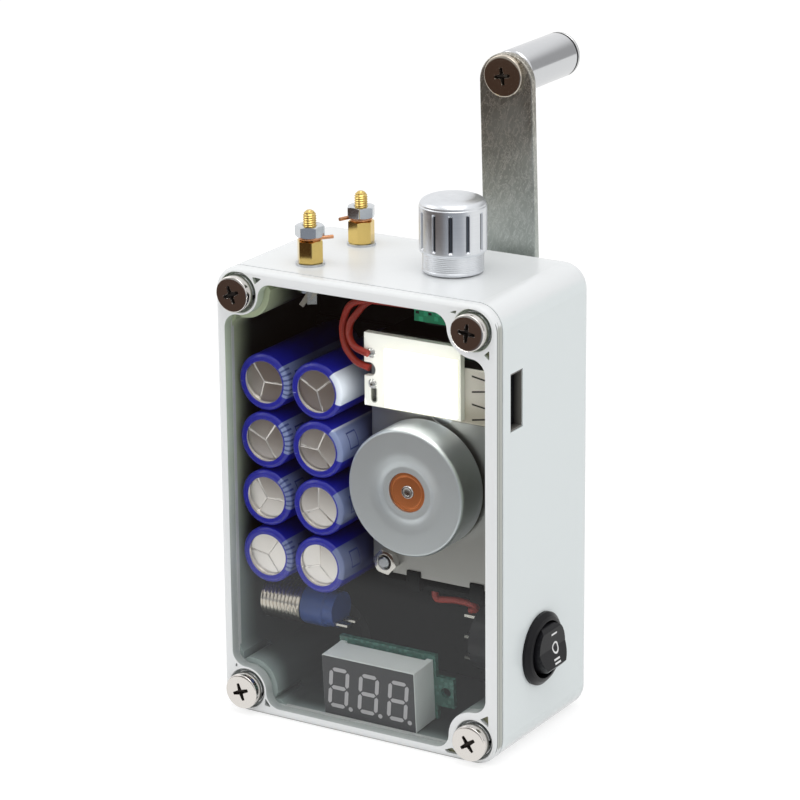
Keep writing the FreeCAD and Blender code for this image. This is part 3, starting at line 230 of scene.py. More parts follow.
# ---------------------------------------------------------------- shape helpers
def skin(points):
    """A surface from a (rows, columns, 3) array of points in millimetres, whose columns join up into a ring."""
    rows, columns = points.shape[:2]
    row, column = np.meshgrid(np.arange(rows - 1), np.arange(columns), indexing="ij")
    after = (column + 1) % columns
    quads = [row * columns + column, row * columns + after, (row + 1) * columns + after, (row + 1) * columns + column]
    return points.reshape(-1, 3), np.stack(quads, -1).reshape(-1, 4)


def ring_angles(steps):
    """Even angles of a full turn: TURN k / steps."""
    return np.arange(steps) * TURN / steps


def arc_line(x, z, radius, angle):
    """Points of an arc in a plane: (x + r cos, z + r sin)."""
    return np.stack([x + radius * np.cos(angle), z + radius * np.sin(angle)], -1)


def unit(vector):
    """A vector over its own length."""
    return vector / np.linalg.norm(vector)


def axis_frame(axis):
    """Two directions across an axis, so that across x along = axis."""
    axis = unit(np.asarray(axis, float))
    side = np.array([0.0, 0.0, 1.0]) if abs(axis[2]) < 0.9 else np.array([1.0, 0.0, 0.0])
    first = unit(np.cross(side, axis))
    return first, np.cross(axis, first), axis


def around(centre, axis, radius, height, angle):
    """Points at a radius, height and angle about an axis: centre + axis h + r (cos, sin)."""
    first, second, axis = axis_frame(axis)
    radius, height, angle = np.broadcast_arrays(radius, height, angle)
    flat = radius[..., None] * (np.cos(angle)[..., None] * first + np.sin(angle)[..., None] * second)
    return np.asarray(centre, float) + flat + height[..., None] * axis


def rounding(corner, start, stop, steps):
    """A short curve that cuts a corner: (1-t)^2 start + 2t(1-t) corner + t^2 stop."""
    t = np.linspace(0, 1, steps)[:, None]
    return (1 - t) ** 2 * start + 2 * t * (1 - t) * corner + t ** 2 * stop


def softened(profile, steps=5):
    """A profile of (radius, height, rounding) corners as one line, each corner an arc of its rounding."""
    corners = [np.array(corner[:2], float) for corner in profile]
    line = []
    for k, corner in enumerate(corners):
        size = profile[k][2] if len(profile[k]) > 2 else 0.0
        if size <= 0 or k in (0, len(corners) - 1):
            line.append(corner)
            continue
        back, ahead = corners[k - 1] - corner, corners[k + 1] - corner
        size = min(size, 0.49 * np.linalg.norm(back), 0.49 * np.linalg.norm(ahead))
        line.extend(rounding(corner, corner + unit(back) * size, corner + unit(ahead) * size, steps + 1))
    return np.array(line)


def turned(centre, axis, profile, steps=96, soften=5):
    """A turned piece: the profile (radius, height, rounding) carried round the axis."""
    line = softened(profile, soften)
    return skin(around(centre, axis, line[:, :1], line[:, 1:], ring_angles(steps)[None, :]))


def threaded(centre, axis, low, high, radius, pitch, depth, steps, lead, tip):
    """A screw thread: radius less a triangle wave of (height / pitch - angle / turn), faded at both ends."""
    heights = np.linspace(low, high, int((high - low) / pitch * 10) + 2)[:, None]
    angle = ring_angles(steps)[None, :]
    wave = np.abs(((heights / pitch - angle / TURN) % 1.0) * 2 - 1)
    fade = np.clip((heights - low) / lead, 0, 1) * np.clip((high - heights) / tip + 0.3, 0, 1)
    taper = np.clip(1 - (high - heights) / tip, 0, 1) ** 2.5 * radius * 0.6
    body = around(centre, axis, radius - depth * wave * fade - taper, heights, angle)
    ends = [around(centre, axis, 0.0, level, angle) for level in (low, high)]
    return skin(np.concatenate([ends[0], body, ends[1]]))


def hexagon_nut(centre, axis, flats, height, bore, turn, chamfer=0.55):
    """A nut: radius flats/2 / cos(angle within a sixth), cut at both ends by a 30 degree cone."""
    angle = ring_angles(96)[None, :]
    outer = flats / 2 / np.cos((angle + turn) % (TURN / 6) - TURN / 12)
    corner = np.maximum(outer - flats / 2 * 1.01, 0) * chamfer
    lip, eye = flats / 2 * 0.97, bore + 0.25
    rows = [(bore, 0.25), (eye, 0.0), (lip, 0.0), (outer, corner + 0.02), (outer, height - corner - 0.02),
            (lip, height), (eye, height), (bore, height - 0.25), (bore, 0.25)]
    return skin(np.concatenate([around(centre, axis, radius, level, angle) for radius, level in rows]))


def smooth_path(points, count):
    """A Catmull-Rom curve through the points, in count steps for each span."""
    points = np.asarray(points, float)
    padded = np.vstack([2 * points[0] - points[1], points, 2 * points[-1] - points[-2]])
    share = np.linspace(0, 1, count, endpoint=False)[None, :, None]
    p0, p1, p2, p3 = [padded[k:len(padded) - 3 + k][:, None, :] for k in range(4)]
    curve = 0.5 * (2 * p1 + (p2 - p0) * share + (2 * p0 - 5 * p1 + 4 * p2 - p3) * share ** 2
                   + (3 * p1 - p0 - 3 * p2 + p3) * share ** 3)
    return np.vstack([curve.reshape(-1, 3), points[-1:]])


def capped(rings):
    """A skin over rings of points, closed at both ends by the middle of its end ring."""
    ends = [ring.mean(1, keepdims=True).repeat(rings.shape[1], 1) for ring in (rings[:1], rings[-1:])]
    return skin(np.concatenate([ends[0], rings, ends[1]]))


def swept(path, radius, steps):
    """A tube: a circle carried along a path, its frame kept level with a fixed direction."""
    along = np.gradient(path, axis=0)
    along /= np.linalg.norm(along, axis=1)[:, None]
    side = np.cross(along, np.eye(3)[np.argmin(np.abs(along).mean(0))])
    side /= np.linalg.norm(side, axis=1)[:, None]
    over = np.cross(side, along)
    angle = ring_angles(steps)[None, :, None]
    return capped(path[:, None] + radius * (np.cos(angle) * side[:, None] - np.sin(angle) * over[:, None]))


def slab(outline, low, high):
    """A flat plate: a closed outline in X and Z, raised between two levels of Y."""
    points = np.vstack([raised(outline, level) for level in (low, high)])
    count = len(outline)
    k = np.arange(count)
    sides = np.stack([k, (k + 1) % count, (k + 1) % count + count, k + count], -1)
    return points, [*map(tuple, sides), tuple(k[::-1]), tuple(k + count)]


def oblong(x0, x1, z0, z1, radius, steps=6):
    """A rectangle with rounded corners, as an outline."""
    quarter = np.linspace(0, math.pi / 2, steps)
    corners = ((x1 - radius, z1 - radius), (x0 + radius, z1 - radius), (x0 + radius, z0 + radius),
               (x1 - radius, z0 + radius))
    return np.vstack([arc_line(x, z, radius, quarter + k * math.pi / 2) for k, (x, z) in enumerate(corners)])


def raised(line, level):
    """A flat outline at one depth."""
    line = np.asarray(line, float)
    return np.stack([line[:, 0], np.full(len(line), level), line[:, 1]], -1)


def leaned(shape, centre, axis, degrees):
    """A shape turned about an axis through a centre."""
    points, faces = shape
    turn = np.array(Matrix.Rotation(math.radians(degrees), 3, Vector(axis)))
    return (np.asarray(points, float) - centre) @ turn.T + centre, faces


def piece(name, shapes, finish, body, slot, replaces=(), sharp=32.0, bevel=0.0, uv=None, mend=True):
    """One named object from shapes (points in millimetres, faces), with smooth faces and sharp edges kept."""
    points, faces, start = [], [], 0
    for shape_points, shape_faces in shapes:
        points.append(np.asarray(shape_points, float))
        faces.extend(tuple(int(k) + start for k in face) for face in shape_faces)
        start += len(shape_points)
    mesh = bpy.data.meshes.new(name)
    mesh.from_pydata((np.vstack(points) * MM).tolist(), [], faces)
    if uv is not None:
        layer = mesh.uv_layers.new(name="unrolled")
        corner = np.zeros(len(mesh.loops), np.int32)
        mesh.loops.foreach_get("vertex_index", corner)
        layer.data.foreach_set("uv", np.vstack(uv)[corner].astype(np.float32).ravel())
    if mend:
        work = bmesh.new()
        work.from_mesh(mesh)
        bmesh.ops.remove_doubles(work, verts=work.verts, dist=1e-7)
        bmesh.ops.dissolve_degenerate(work, edges=work.edges, dist=1e-8)
        bmesh.ops.recalc_face_normals(work, faces=work.faces)
        work.to_mesh(mesh)
        work.free()
    mesh.polygons.foreach_set("use_smooth", np.ones(len(mesh.polygons), bool))
    mesh.set_sharp_from_angle(angle=math.radians(sharp))
    mesh.materials.append(finish)
    made = bpy.data.objects.new(name, mesh)
    bpy.context.scene.collection.objects.link(made)
    if bevel:
        edge = made.modifiers.new("edge", "BEVEL")
        edge.width, edge.segments, edge.limit_method = bevel * MM, 3, "ANGLE"
        edge.angle_limit, edge.harden_normals = math.radians(30), False
    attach(made, body)
    if replaces:
        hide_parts(*replaces)


def dress(finish, *names):
    """Gives CAD nodes a finish."""
    for name in names:
        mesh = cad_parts[name].data
        if not mesh.materials:
            mesh.materials.append(finish)
        for k in range(len(mesh.materials)):
            mesh.materials[k] = finish


# ---------------------------------------------------------------- finishes of this generator
def clear_pane():
    """Polished clear sheet: a mirror of the sheet's own weak reflection over what lies behind."""
    finish = Finish("clear_pane")
    glance = finish.node("Fresnel", {"IOR": 1.49}) * 1.1
    facing = 1.0 - finish.node("NewGeometry", out="Backfacing")
    mirror = finish.surface(Base_Color=(0.97, 0.98, 1.0), Metallic=1.0, Roughness=0.02)
    through = finish.node("BsdfTransparent", {"Color": (0.985, 0.99, 0.988)})
    return finish.close(finish.node("MixShader", [glance.least(1.0) * facing, through, mirror]))


def case_white():
    """Glossy white moulding. Inside, painted light from the lit face makes the rim cream-green, and painted shade
    darkens the walls towards a near-black back; the right side wall gets a painted shade.
    """
    finish = Finish("case_white")
    x, y, z = finish.axes()
    cloud, ripple = finish.noise(35.0, 2.0), finish.noise(420.0, 2.0)
    inside = (x.rise(-32.4, -32.1) * x.rise(31.8, 31.5) * z.rise(1.5, 1.8) * z.rise(97.8, 97.5)
              * y.rise(-17.5, -17.4) * y.rise(18.5, 18.0))
    # Painted shade: the inside darkens with depth behind the rim, over a longer depth at the corner columns and a
    # shorter one near the floor.
    corner = abs(x).rise(20.0, 27.0) * (z - MID_HEIGHT).rise(35.0, 41.0)
    shade_reach = 8.0 + corner * 10.0 - z.rise(14.0, 6.0) * 2.5
    deep = ((y + 17.2) / shade_reach).rise(0.0, 1.0)
    # Painted light from the lit face: the rim is cream-green high up and greyer low down. Painted shade: near black
    # deep inside.
    rim = finish.blend(z.rise(62.0, 22.0), (0.50, 0.56, 0.38), (0.30, 0.36, 0.345))
    black = finish.blend(z.rise(30.0, 12.0), (0.016, 0.019, 0.017), (0.035, 0.042, 0.042))
    outside = finish.blend(cloud, (0.790, 0.812, 0.822), (0.815, 0.832, 0.842))
    # Painted shade on the right side wall: a darker, cooler white.
    outside = finish.blend(x.rise(33.0, 34.0) * 0.7, outside, (0.735, 0.80, 0.805))
    return finish.paint(
        Base_Color=finish.blend(inside, outside, finish.blend(deep ** 0.6, rim, black)),
        Roughness=0.2 + ripple * 0.06 + inside * 0.25, Normal=finish.bump(ripple, 12), Specular_IOR_Level=0.5)


def lid_white():
    """The lid's white frame, with painted shade on its lip walls, pocket floors, right side and underside. Its piece
    marks lips (first channel) and pocket floors (second) for that painted shade.
    """
    finish = Finish("lid_white")
    x, y, z = finish.axes()
    cloud, ripple = finish.noise(35.0, 2.0), finish.noise(420.0, 2.0)
    lip, pocket, _ = finish.split(finish.node("UVMap"))
    # Painted shade: the frame's right side, behind its front face, is grey-green.
    side = x.rise(33.7, 33.9) * y.rise(-19.5, -19.3)
    seam = (abs(y + 19.5).rise(0.12, 0.05) * 0.9 + abs(y + 18.85).rise(0.14, 0.06) * 0.4) * x.rise(33.3, 33.6)
    # Painted shade on the underside; the seam mask adds two thin dark lines along the right side.
    underside_painted_shade = z.rise(0.6, 0.2)
    # Painted shade on the lip walls, greener higher up, and on the pocket floors, darker to the left.
    lip_painted_shade = finish.blend(z.rise(25.0, 70.0), (0.42, 0.45, 0.44), (0.46, 0.53, 0.42))
    pocket_painted_shade = finish.blend(x.rise(-10.0, 10.0), (0.10, 0.115, 0.10), (0.21, 0.21, 0.13))
    colour = finish.blend(cloud, (0.80, 0.815, 0.82), (0.825, 0.84, 0.845))
    for mask, paint in ((side, (0.44, 0.455, 0.42)), (lip, lip_painted_shade), (pocket, pocket_painted_shade),
                        ((underside_painted_shade + seam).least(1.0), (0.12, 0.13, 0.12))):
        colour = finish.blend(mask, colour, paint)
    return finish.paint(Base_Color=colour, Roughness=0.22 + ripple * 0.06, Normal=finish.bump(ripple, 12))


def sleeve_blue():
    """Blue shrink film with one pale stripe along it, read from the unrolled place (turn, length); painted shade
    darkens film and stripe towards the back and lower down, and painted light from the lit face whitens the stripe of
    the top right can.
    """
    finish = Finish("sleeve_blue")
    x, _, z = finish.axes()
    turn, length, _ = finish.split(finish.node("UVMap"))
    off = abs(turn - 0.5)
    soft = finish.noise(260.0, 2.0)
    stripe = off.rise(0.099, 0.095) * length.rise(0.012, 0.02)
    block = abs(length % 0.34 - 0.2)
    # Painted light: the lit face whitens the stripe on the top right can, and its print is left off there.
    lit = z.rise(66.0, 66.5) * x.rise(-19.0, -17.0)
    mark = off.rise(0.050, 0.047) * block.rise(0.055, 0.052) - off.rise(0.041, 0.038) * block.rise(0.047, 0.044)
    ticks = abs((off * 34.0) % 1.0 - 0.5).rise(0.22, 0.16) * length.rise(0.11, 0.10) * x.rise(-17.0, -19.0)
    # Painted shade: the stripe darkens towards the back of the can and lower in the box.
    deep = (length.rise(0.04, 0.42) * 0.8 + z.rise(66.0, 42.0) * 0.35).least(0.92)
    blue = finish.blend(soft, (0.010, 0.011, 0.30), (0.014, 0.018, 0.40))
    # Painted shade: the film darkens towards the back of the can.
    film = finish.blend(length.rise(0.06, 0.55) * 0.72, blue, (0.004, 0.003, 0.05))
    paint = finish.blend(deep, finish.blend(lit, (0.27, 0.33, 0.56), (0.78, 0.84, 0.95)), (0.03, 0.035, 0.12))
    paint = finish.blend((mark * (1.0 - lit) + ticks * 0.8).least(1.0), paint, (0.02, 0.04, 0.20))
    return finish.paint(
        Base_Color=finish.blend(stripe, film, paint), Roughness=0.27 + soft * 0.06,
        Normal=finish.bump(finish.noise(500.0, 2.0, stretch=(1, 0.2, 1)), 20), Coat_Weight=0.25, Coat_Roughness=0.12)


def can_top_metal():
    """Bright rolled aluminium can end: satin, with a hint of fine rolling lines."""
    finish = Finish("can_top_metal")
    fine, cloud = finish.noise(3000.0, 2.0, 0.6, (3, 1, 0.5)), finish.noise(300.0, 2.0)
    return finish.paint(
        Base_Color=finish.blend(cloud, (0.84, 0.80, 0.76), (0.92, 0.88, 0.84)), Metallic=1.0,
        Roughness=0.26 + cloud * 0.06, Normal=finish.bump(fine, 1.5))


def scratched_plate():
    """Zinc plated flat bar: fine curled scratches all over, duller and browner towards the handle."""
    finish = Finish("scratched_plate")
    x, y, z = finish.axes()
    warp = finish.noise(260.0, 2.0)
    curl = finish.node("CombineXYZ", [x * 0.9 + warp * 5.0, z * 0.25 + warp * 3.0, y])
    threads = finish.noise(1.0, 4.0, 0.75, place=curl)
    fine = finish.noise(2600.0, 3.0, 0.7, (1, 1, 0.35))
    lines = abs(threads - 0.5).rise(0.035, 0.0)
    height, cloud = z.rise(98.0, 140.0), finish.noise(90.0, 2.0)
    tone = finish.blend(height, (0.36, 0.39, 0.365), (0.20, 0.185, 0.155))
    tone = finish.blend(cloud.rise(0.4, 0.65) * 0.4, tone, (0.50, 0.53, 0.50))
    bright = finish.blend(height, (0.72, 0.76, 0.73), (0.72, 0.68, 0.61))
    return finish.paint(
        Base_Color=finish.blend((lines * (0.4 + height * 0.5) + fine * 0.3).least(1.0), tone, bright),
        Metallic=1.0, Roughness=0.33 + fine * 0.16 - lines * 0.1, Normal=finish.bump(fine * 0.5 + lines * 0.5, 10))


def printed_rocker():
    """Black rocker with white printed marks: one bar, a ring and two bars, drawn by distance in millimetres."""
    finish = Finish("printed_rocker")
    x, y, z = finish.axes()
    ring_y, ring_z = (y + 0.25) * 1.05, z - 21.05
    marks = abs((ring_y * ring_y + ring_z * ring_z).root() - 1.12).rise(0.26, 0.16)
    for bar_y, bar_z, half_length in ((-0.55, 24.2, 1.15), (-0.7, 18.75, 1.2), (-0.7, 17.95, 1.2)):
        bar = abs(y - bar_y).rise(half_length + 0.05, half_length - 0.05) * abs(z - bar_z).rise(0.25, 0.15)
        marks = marks + bar
    grain = finish.noise(2500.0, 2.0)
    return finish.paint(
        Base_Color=finish.blend((marks * x.rise(35.9, 36.3)).least(1.0), (0.008, 0.008, 0.010), (0.78, 0.78, 0.78)),
        Roughness=0.30 + grain * 0.12, Normal=finish.bump(grain, 12), Specular_IOR_Level=0.22)


def circuit_board(name, colour, pattern):
    """Solder mask over copper: wide faint tracks that stand slightly proud, with a glossy coat."""
    finish = Finish(name)
    spot = {"Vector": finish.node("TexCoord", out="Object"), "Scale": pattern}
    tracks = finish.node("TexVoronoi", spot, out="Distance", distance="CHEBYCHEV").rise(0.25, 0.4)
    light = tuple(min(1.0, channel * 1.5 + 0.015) for channel in colour)
    return finish.paint(
        Base_Color=finish.blend(tracks, light, colour), Roughness=0.28 + tracks * 0.08,
        Normal=finish.bump(tracks, 30), Coat_Weight=0.4, Coat_Roughness=0.15)


def light_board():
    """White board of the light, with a dark rounded slot beside its lower joint, by distance in millimetres."""
    finish = Finish("light_board")
    x, _, z = finish.axes()
    cloud = finish.noise(300.0, 2.0)
    rise = abs(z - 75.9).most(1.0) - 1.0
    gap = ((x - 2.4) * (x - 2.4) + rise * rise).root()
    slot = gap.rise(0.62, 0.5)
    rim = gap.rise(0.85, 0.7) * (1.0 - slot)
    white = finish.blend(cloud, (0.80, 0.80, 0.75), (0.86, 0.86, 0.82))
    colour = finish.blend(slot, finish.blend(rim * 0.7, white, (0.16, 0.17, 0.13)), (0.03, 0.035, 0.03))
    return finish.paint(
        Base_Color=colour, Roughness=0.4 - slot * 0.1, Normal=finish.bump(cloud, 10), Coat_Weight=0.2,
        Coat_Roughness=0.15)


def slotted_tin():
    """Tin plated socket shell with narrow black slots at its spring fingers; painted light from the lit face makes it
    warm and bright at the top, with painted shade lower down and on its inner faces.
    """
    finish = Finish("slotted_tin")
    x, y, z = finish.axes()
    grain, cloud = finish.noise(1400.0, 3.0, 0.6, (1, 1, 0.4)), finish.noise(260.0, 2.0)
    within = y.rise(-14.1, -14.0)
    fingers = 0.0
    for height, slope in ((82.7, 0.16), (79.8, -0.16), (76.7, 0.14), (73.8, -0.18)):
        fingers = fingers + abs(z - height + (x - 26.4) * slope).rise(0.24, 0.14)
    slots = x.rise(24.7, 25.0) * (1.0 - within) * fingers
    # Painted light from the lit face: warm and bright at the top, painted shade lower down.
    sheet = finish.blend(z.rise(79.0, 74.0), (0.90, 0.86, 0.80), (0.62, 0.58, 0.48))
    dull = finish.blend(0.25, sheet, (0.45, 0.42, 0.34))
    # Painted shade on the inner faces: black deep inside and lighter towards the open end.
    mouth_painted_shade = finish.blend(x.rise(31.5, 33.8), (0.008, 0.008, 0.008), (0.16, 0.155, 0.14))
    colour = finish.blend(within, finish.blend(grain * 0.5 + cloud * 0.5, dull, sheet), mouth_painted_shade)
    return finish.paint(
        Base_Color=finish.blend(slots.least(1.0), colour, (0.02, 0.018, 0.015)),
        Metallic=0.55 - (slots + within).least(1.0) * 0.5, Roughness=0.38 + grain * 0.1,
        Normal=finish.bump(grain, 3))


def lit_face():
    """Lit phosphor, white in the middle and warm and weaker over its last millimetre."""
    finish = Finish("lit_phosphor")
    x, _, z = finish.axes()
    inner = x.rise(5.4, 6.6) * x.rise(22.6, 21.4) * z.rise(73.9, 75.1) * z.rise(86.5, 85.3)
    return finish.paint(
        Base_Color=(0.9, 0.88, 0.75), Roughness=0.4, Emission_Strength=13.0,
        Emission_Color=finish.blend(inner ** 1.5, (0.062, 0.060, 0.048), (1.0, 0.985, 0.93)))


def recessed_metal(name, spot, pitch, edge, floor, colours, polish):
    """Nickel screw head: faint rings round its axis, and painted shade in the recess below its face.

    spot turns X and Z into distances from the axis. edge and floor are the recess's limits in radius and depth,
    colours are (dull, bright, painted shade of the recess), and polish is (roughness, its swing, its gain in the
    recess, metal lost there).
    """
    finish = Finish(name)
    x, y, z = finish.axes()
    radius, ring = finish.rings(*spot(x, z), y, pitch)
    # Painted shade: the recess below the face is dark, duller and less metal.
    recess = radius.rise(*edge) * y.rise(*floor)
    dull, bright, deep = colours
    rough, swing, gain, loss = polish
    return finish.paint(
        Base_Color=finish.blend(recess, finish.blend(ring, dull, bright), deep), Metallic=1.0 - recess * loss,
        Roughness=rough + (ring - 0.5) * swing + recess * gain, Normal=finish.bump(ring, 2))


def knob_metal():
    """Diamond turned aluminium: fine rings, streaks down the side and painted shade on the floors of the upright
    grooves.
    """
    finish = Finish("knob_satin")
    x, y, z = finish.axes()
    radius, lines = finish.rings(x - KNOB_X, y, z, 0.22)
    streaks = finish.noise(700.0, 2.0, 0.5, (1, 1, 0.02))
    # Painted shade on the groove floors.
    groove_painted_shade = radius.rise(6.85, 6.65) * z.rise(105.4, 105.7) * z.rise(113.5, 113.2)
    satin = finish.blend(lines * 0.5 + streaks * 0.5, (0.66, 0.68, 0.71), (0.90, 0.92, 0.95))
    return finish.paint(
        Base_Color=finish.blend(groove_painted_shade, satin, (0.10, 0.11, 0.13)), Metallic=1.0,
        Roughness=0.3 + lines * 0.08, Normal=finish.bump(lines, 4))


# Metal: colour, roughness, grain per metre, relief, share of its darker tone, swing of gloss, stretch of the grain.
# Plastic: colour, roughness, spread of colour, grain per metre, relief, gloss.
# Relief is in thousandths of a millimetre.
bright_nickel = metal("bright_nickel", (0.74, 0.71, 0.67), 0.10, 3200.0, 3, 0.86, 0.06)
bright_brass = metal("bright_brass", (0.83, 0.60, 0.20), 0.14, 1500.0, 4, 0.8, 0.08, (1, 1, 0.2))
black_matt = plastic("black_matt", (0.022, 0.022, 0.024), 0.5, 0.2, 1500.0, 30)
meter_grey = plastic("meter_grey", (0.80, 0.84, 0.82), 0.42, 0.03, 1800.0, 10)

dress(case_white(), "enclosure_body")
dress(plastic("soft_gasket", (0.62, 0.64, 0.63), 0.55, 0.06, 700.0, 30), "lid_gasket")
dress(clear_pane(), "clear_lid")
# Near black: partly these parts' own dark colour and partly painted shade deep at the back of the box.
dress(plastic("dark_card_and_shade", (0.010, 0.011, 0.011), 0.7, 0.3, 900.0, 30, 0.08),
      "backing_plate", "capacitor_board", "gear_housing")
dress(metal("plate_steel", (0.46, 0.46, 0.44), 0.40, 900.0, 1, 0.95, 0.03), "gearbox_plates")
dress(metal("dull_zinc", (0.66, 0.68, 0.70), 0.30, 1800.0, 6, 0.75),
      "gearbox_screws", "crank_nut", "post_washers", "crank_shaft", "idler_two_pinion")
dress(metal("bronze_bush", (0.56, 0.38, 0.20), 0.36, 2200.0, 8, 0.7), "crank_bushing", "bearing_tube", "handle_spacer")
dress(metal("laminated_iron", (0.22, 0.22, 0.23), 0.45, 900.0, 20, 0.6, stretch=(0.1, 8, 0.1)), "stator_core")
dress(metal("winding_copper", (0.62, 0.28, 0.12), 0.30, 900.0, 30, 0.5, stretch=(1, 6, 1)), "stator_coils")
dress(black_matt, "potentiometer")
dress(bright_nickel, "panel_nuts", "button_plunger")
dress(circuit_board("green_mask", (0.03, 0.11, 0.085), 900.0), "converter_board", "meter_board")
# A brighter green than the other boards: partly the mask's own colour and partly painted light from the lit face beside
# it.
dress(circuit_board("bright_mask", (0.02, 0.34, 0.17), 700.0), "dimmer_board")
dress(bright_brass, "rotor_pinion", "idler_two_wheel")
dress(metal("tinned_sheet", (0.70, 0.68, 0.62), 0.28, 1400.0, 6, 0.75, stretch=(1, 1, 0.4)),
      "post_solder_lugs", "solder_terminals")
dress(slotted_tin(), "usb_shell")
dress(plastic("black_gloss", (0.007, 0.007, 0.009), 0.34, 0.2, 2500.0, 10, 0.22), "switch_housing", "usb_tongue")
dress(light_board(), "led_board")
dress(lit_face(), "led_emitter")
dress(plastic("white_resin", (0.74, 0.73, 0.68), 0.42, 0.04, 900.0, 20), "crank_gear", "idler_one_gear")
dress(metal("ground_magnet", (0.13, 0.13, 0.14), 0.35, 2000.0, 6, 0.8), "rotor_magnets")
dress(plastic("red_rubber", (0.30, 0.022, 0.012), 0.36, 0.1, 900.0, 20), "hook_up_wires")
dress(plastic("blue_moulding", (0.035, 0.085, 0.30), 0.36, 0.3, 500.0, 30), "button_base")
dress(printed_rocker(), "switch_rocker")
dress(turned_metal("knob_shaft_satin", (0.86, 0.87, 0.89), 0.25, (KNOB_X, 0.0, 108.0), axis=2), "knob_shaft")


# ---------------------------------------------------------------- lid
def recessed_head(centre, radius, height, dome, arm, shank, length, turn):
    """Pan head with a cross recess: height - dome (r / radius)^2, less a pit inside two crossed bars."""
    angle = ring_angles(144)[None, :]
    span = np.concatenate([np.linspace(0.0, arm * 1.25, 44), np.linspace(arm * 1.35, radius - 0.55, 8)])[:, None]
    first, second = span * np.cos(angle - turn), span * np.sin(angle - turn)
    bars = [np.maximum(np.abs(a) - arm, np.abs(b) - 0.24 * arm * (1.15 - 0.5 * np.abs(a) / arm))
            for a, b in ((first, second), (second, first))]
    inside = np.clip(-np.minimum(*bars) / 0.1, 0, 1)
    level = height - dome * (span / radius) ** 2 - inside * np.clip(1.7 - 0.9 * span / arm, 0.3, 2) * arm * 0.55
    edge = softened([(radius - 0.55, height - dome * ((radius - 0.55) / radius) ** 2),
                     (radius, height - dome - 0.05, 0.5), (radius, 0.12, 0.1), (radius - 0.12, 0.0),
                     (shank, 0.0), (shank, -length), (0.0, -length)], 6)[1:]
    return skin(np.concatenate([around(centre, OUT, span, level, angle),
                                around(centre, OUT, edge[:, :1], edge[:, 1:], angle)]))


def spring_ring(centre, inner, outer, low, high, start):
    """Split washer: a square section carried round most of a turn while it climbs a little."""
    gap, lift = 0.14, 0.18
    angle = np.linspace(start + gap, start + TURN - gap, 72)[:, None]
    section = np.array([(inner, low), (outer - 0.1, low), (outer, low + 0.1), (outer, high - lift - 0.1),
                        (outer - 0.1, high - lift), (inner, high - lift)])
    return capped(around(centre, OUT, section[None, :, 0], section[None, :, 1] + (angle - start) / TURN * lift, angle))


def window_line(grown=0.0):
    """Outline of the lid's window: a rectangle whose corners flow round the four screw columns in S curves.

    In each corner an arc leaves the side wall, meets the column's circle where the sum of the two radii is the
    distance between the centres, follows the column and flows into the other wall the same way.
    """
    line = []
    for side, end in ((1, -1), (1, 1), (-1, 1), (-1, -1)):
        wall_x, wall_z = (31.2 if side > 0 else -31.9), (97.2 if end > 0 else 2.0)
        column, fillet = (6.15 if side > 0 else 5.0) - grown, 3.2 + grown
        across = abs(wall_x - side * SCREW_SIDE) + grown
        along = abs(wall_z - MID_HEIGHT - end * SCREW_RISE) + grown
        first = along + math.sqrt((column + fillet) ** 2 - (fillet - across) ** 2)
        second = across + math.sqrt((column + fillet) ** 2 - (fillet - along) ** 2)
        arcs = [(fillet, first, fillet, math.pi, math.atan2(along - first, across - fillet) % TURN),
                (across, along, column, math.atan2(first - along, fillet - across),
                 math.atan2(fillet - along, second - across)),
                (second, fillet, fillet, math.atan2(along - fillet, across - second) % TURN, 1.5 * math.pi)]
        corner = np.vstack([arc_line(u, w, radius, np.linspace(start, stop, 14)[1 if k else 0:])
                            for k, (u, w, radius, start, stop) in enumerate(arcs)])
        corner = (wall_x + side * grown, wall_z + end * grown) - corner * (side, end)
        line.append(corner[::-1] if side * end < 0 else corner)
    return np.vstack(line)


def faced(lines, level):
    """A flat face between an outer outline and its holes: triangles whose middles are inside an odd number of lines."""
    edges, start = [], 0
    for line in lines:
        edges.extend((start + k, start + (k + 1) % len(line)) for k in range(len(line)))
        start += len(line)
    spots, _, faces = delaunay_2d_cdt([Vector(spot) for line in lines for spot in line], edges, [], 1, 1e-7)[:3]
    spots, faces = (np.array([tuple(row) for row in rows]) for rows in (spots, faces))
    middle_x, middle_z = spots[faces].mean(1).T[:, :, None]
    crossed = np.zeros(len(faces), int)
    for line in lines:
        (x, z), (next_x, next_z) = line.T, np.roll(line, -1, axis=0).T
        across = (z > middle_z) != (next_z > middle_z)
        rise = np.where(z == next_z, 1.0, next_z - z)
        crossed += (across & (middle_x < x + (middle_z - z) * (next_x - x) / rise)).sum(1)
    return raised(spots, level), faces[crossed % 2 == 1]


def walls(*steps):
    """A wall carried through outlines, each at its depth."""
    return skin(np.stack([raised(line, depth) for line, depth in steps]))


def ring_line(x, z, radius):
    """A round outline."""
    return arc_line(x, z, radius, ring_angles(48))


def rounded_corners(line, radius):
    """An outline with each of its corners cut back by a short curve."""
    line, out = np.asarray(line, float), []
    for k, corner in enumerate(line):
        before, after = line[k - 1] - corner, line[(k + 1) % len(line)] - corner
        out.append(rounding(corner, corner + unit(before) * radius, corner + unit(after) * radius, 4))
    return np.vstack(out)


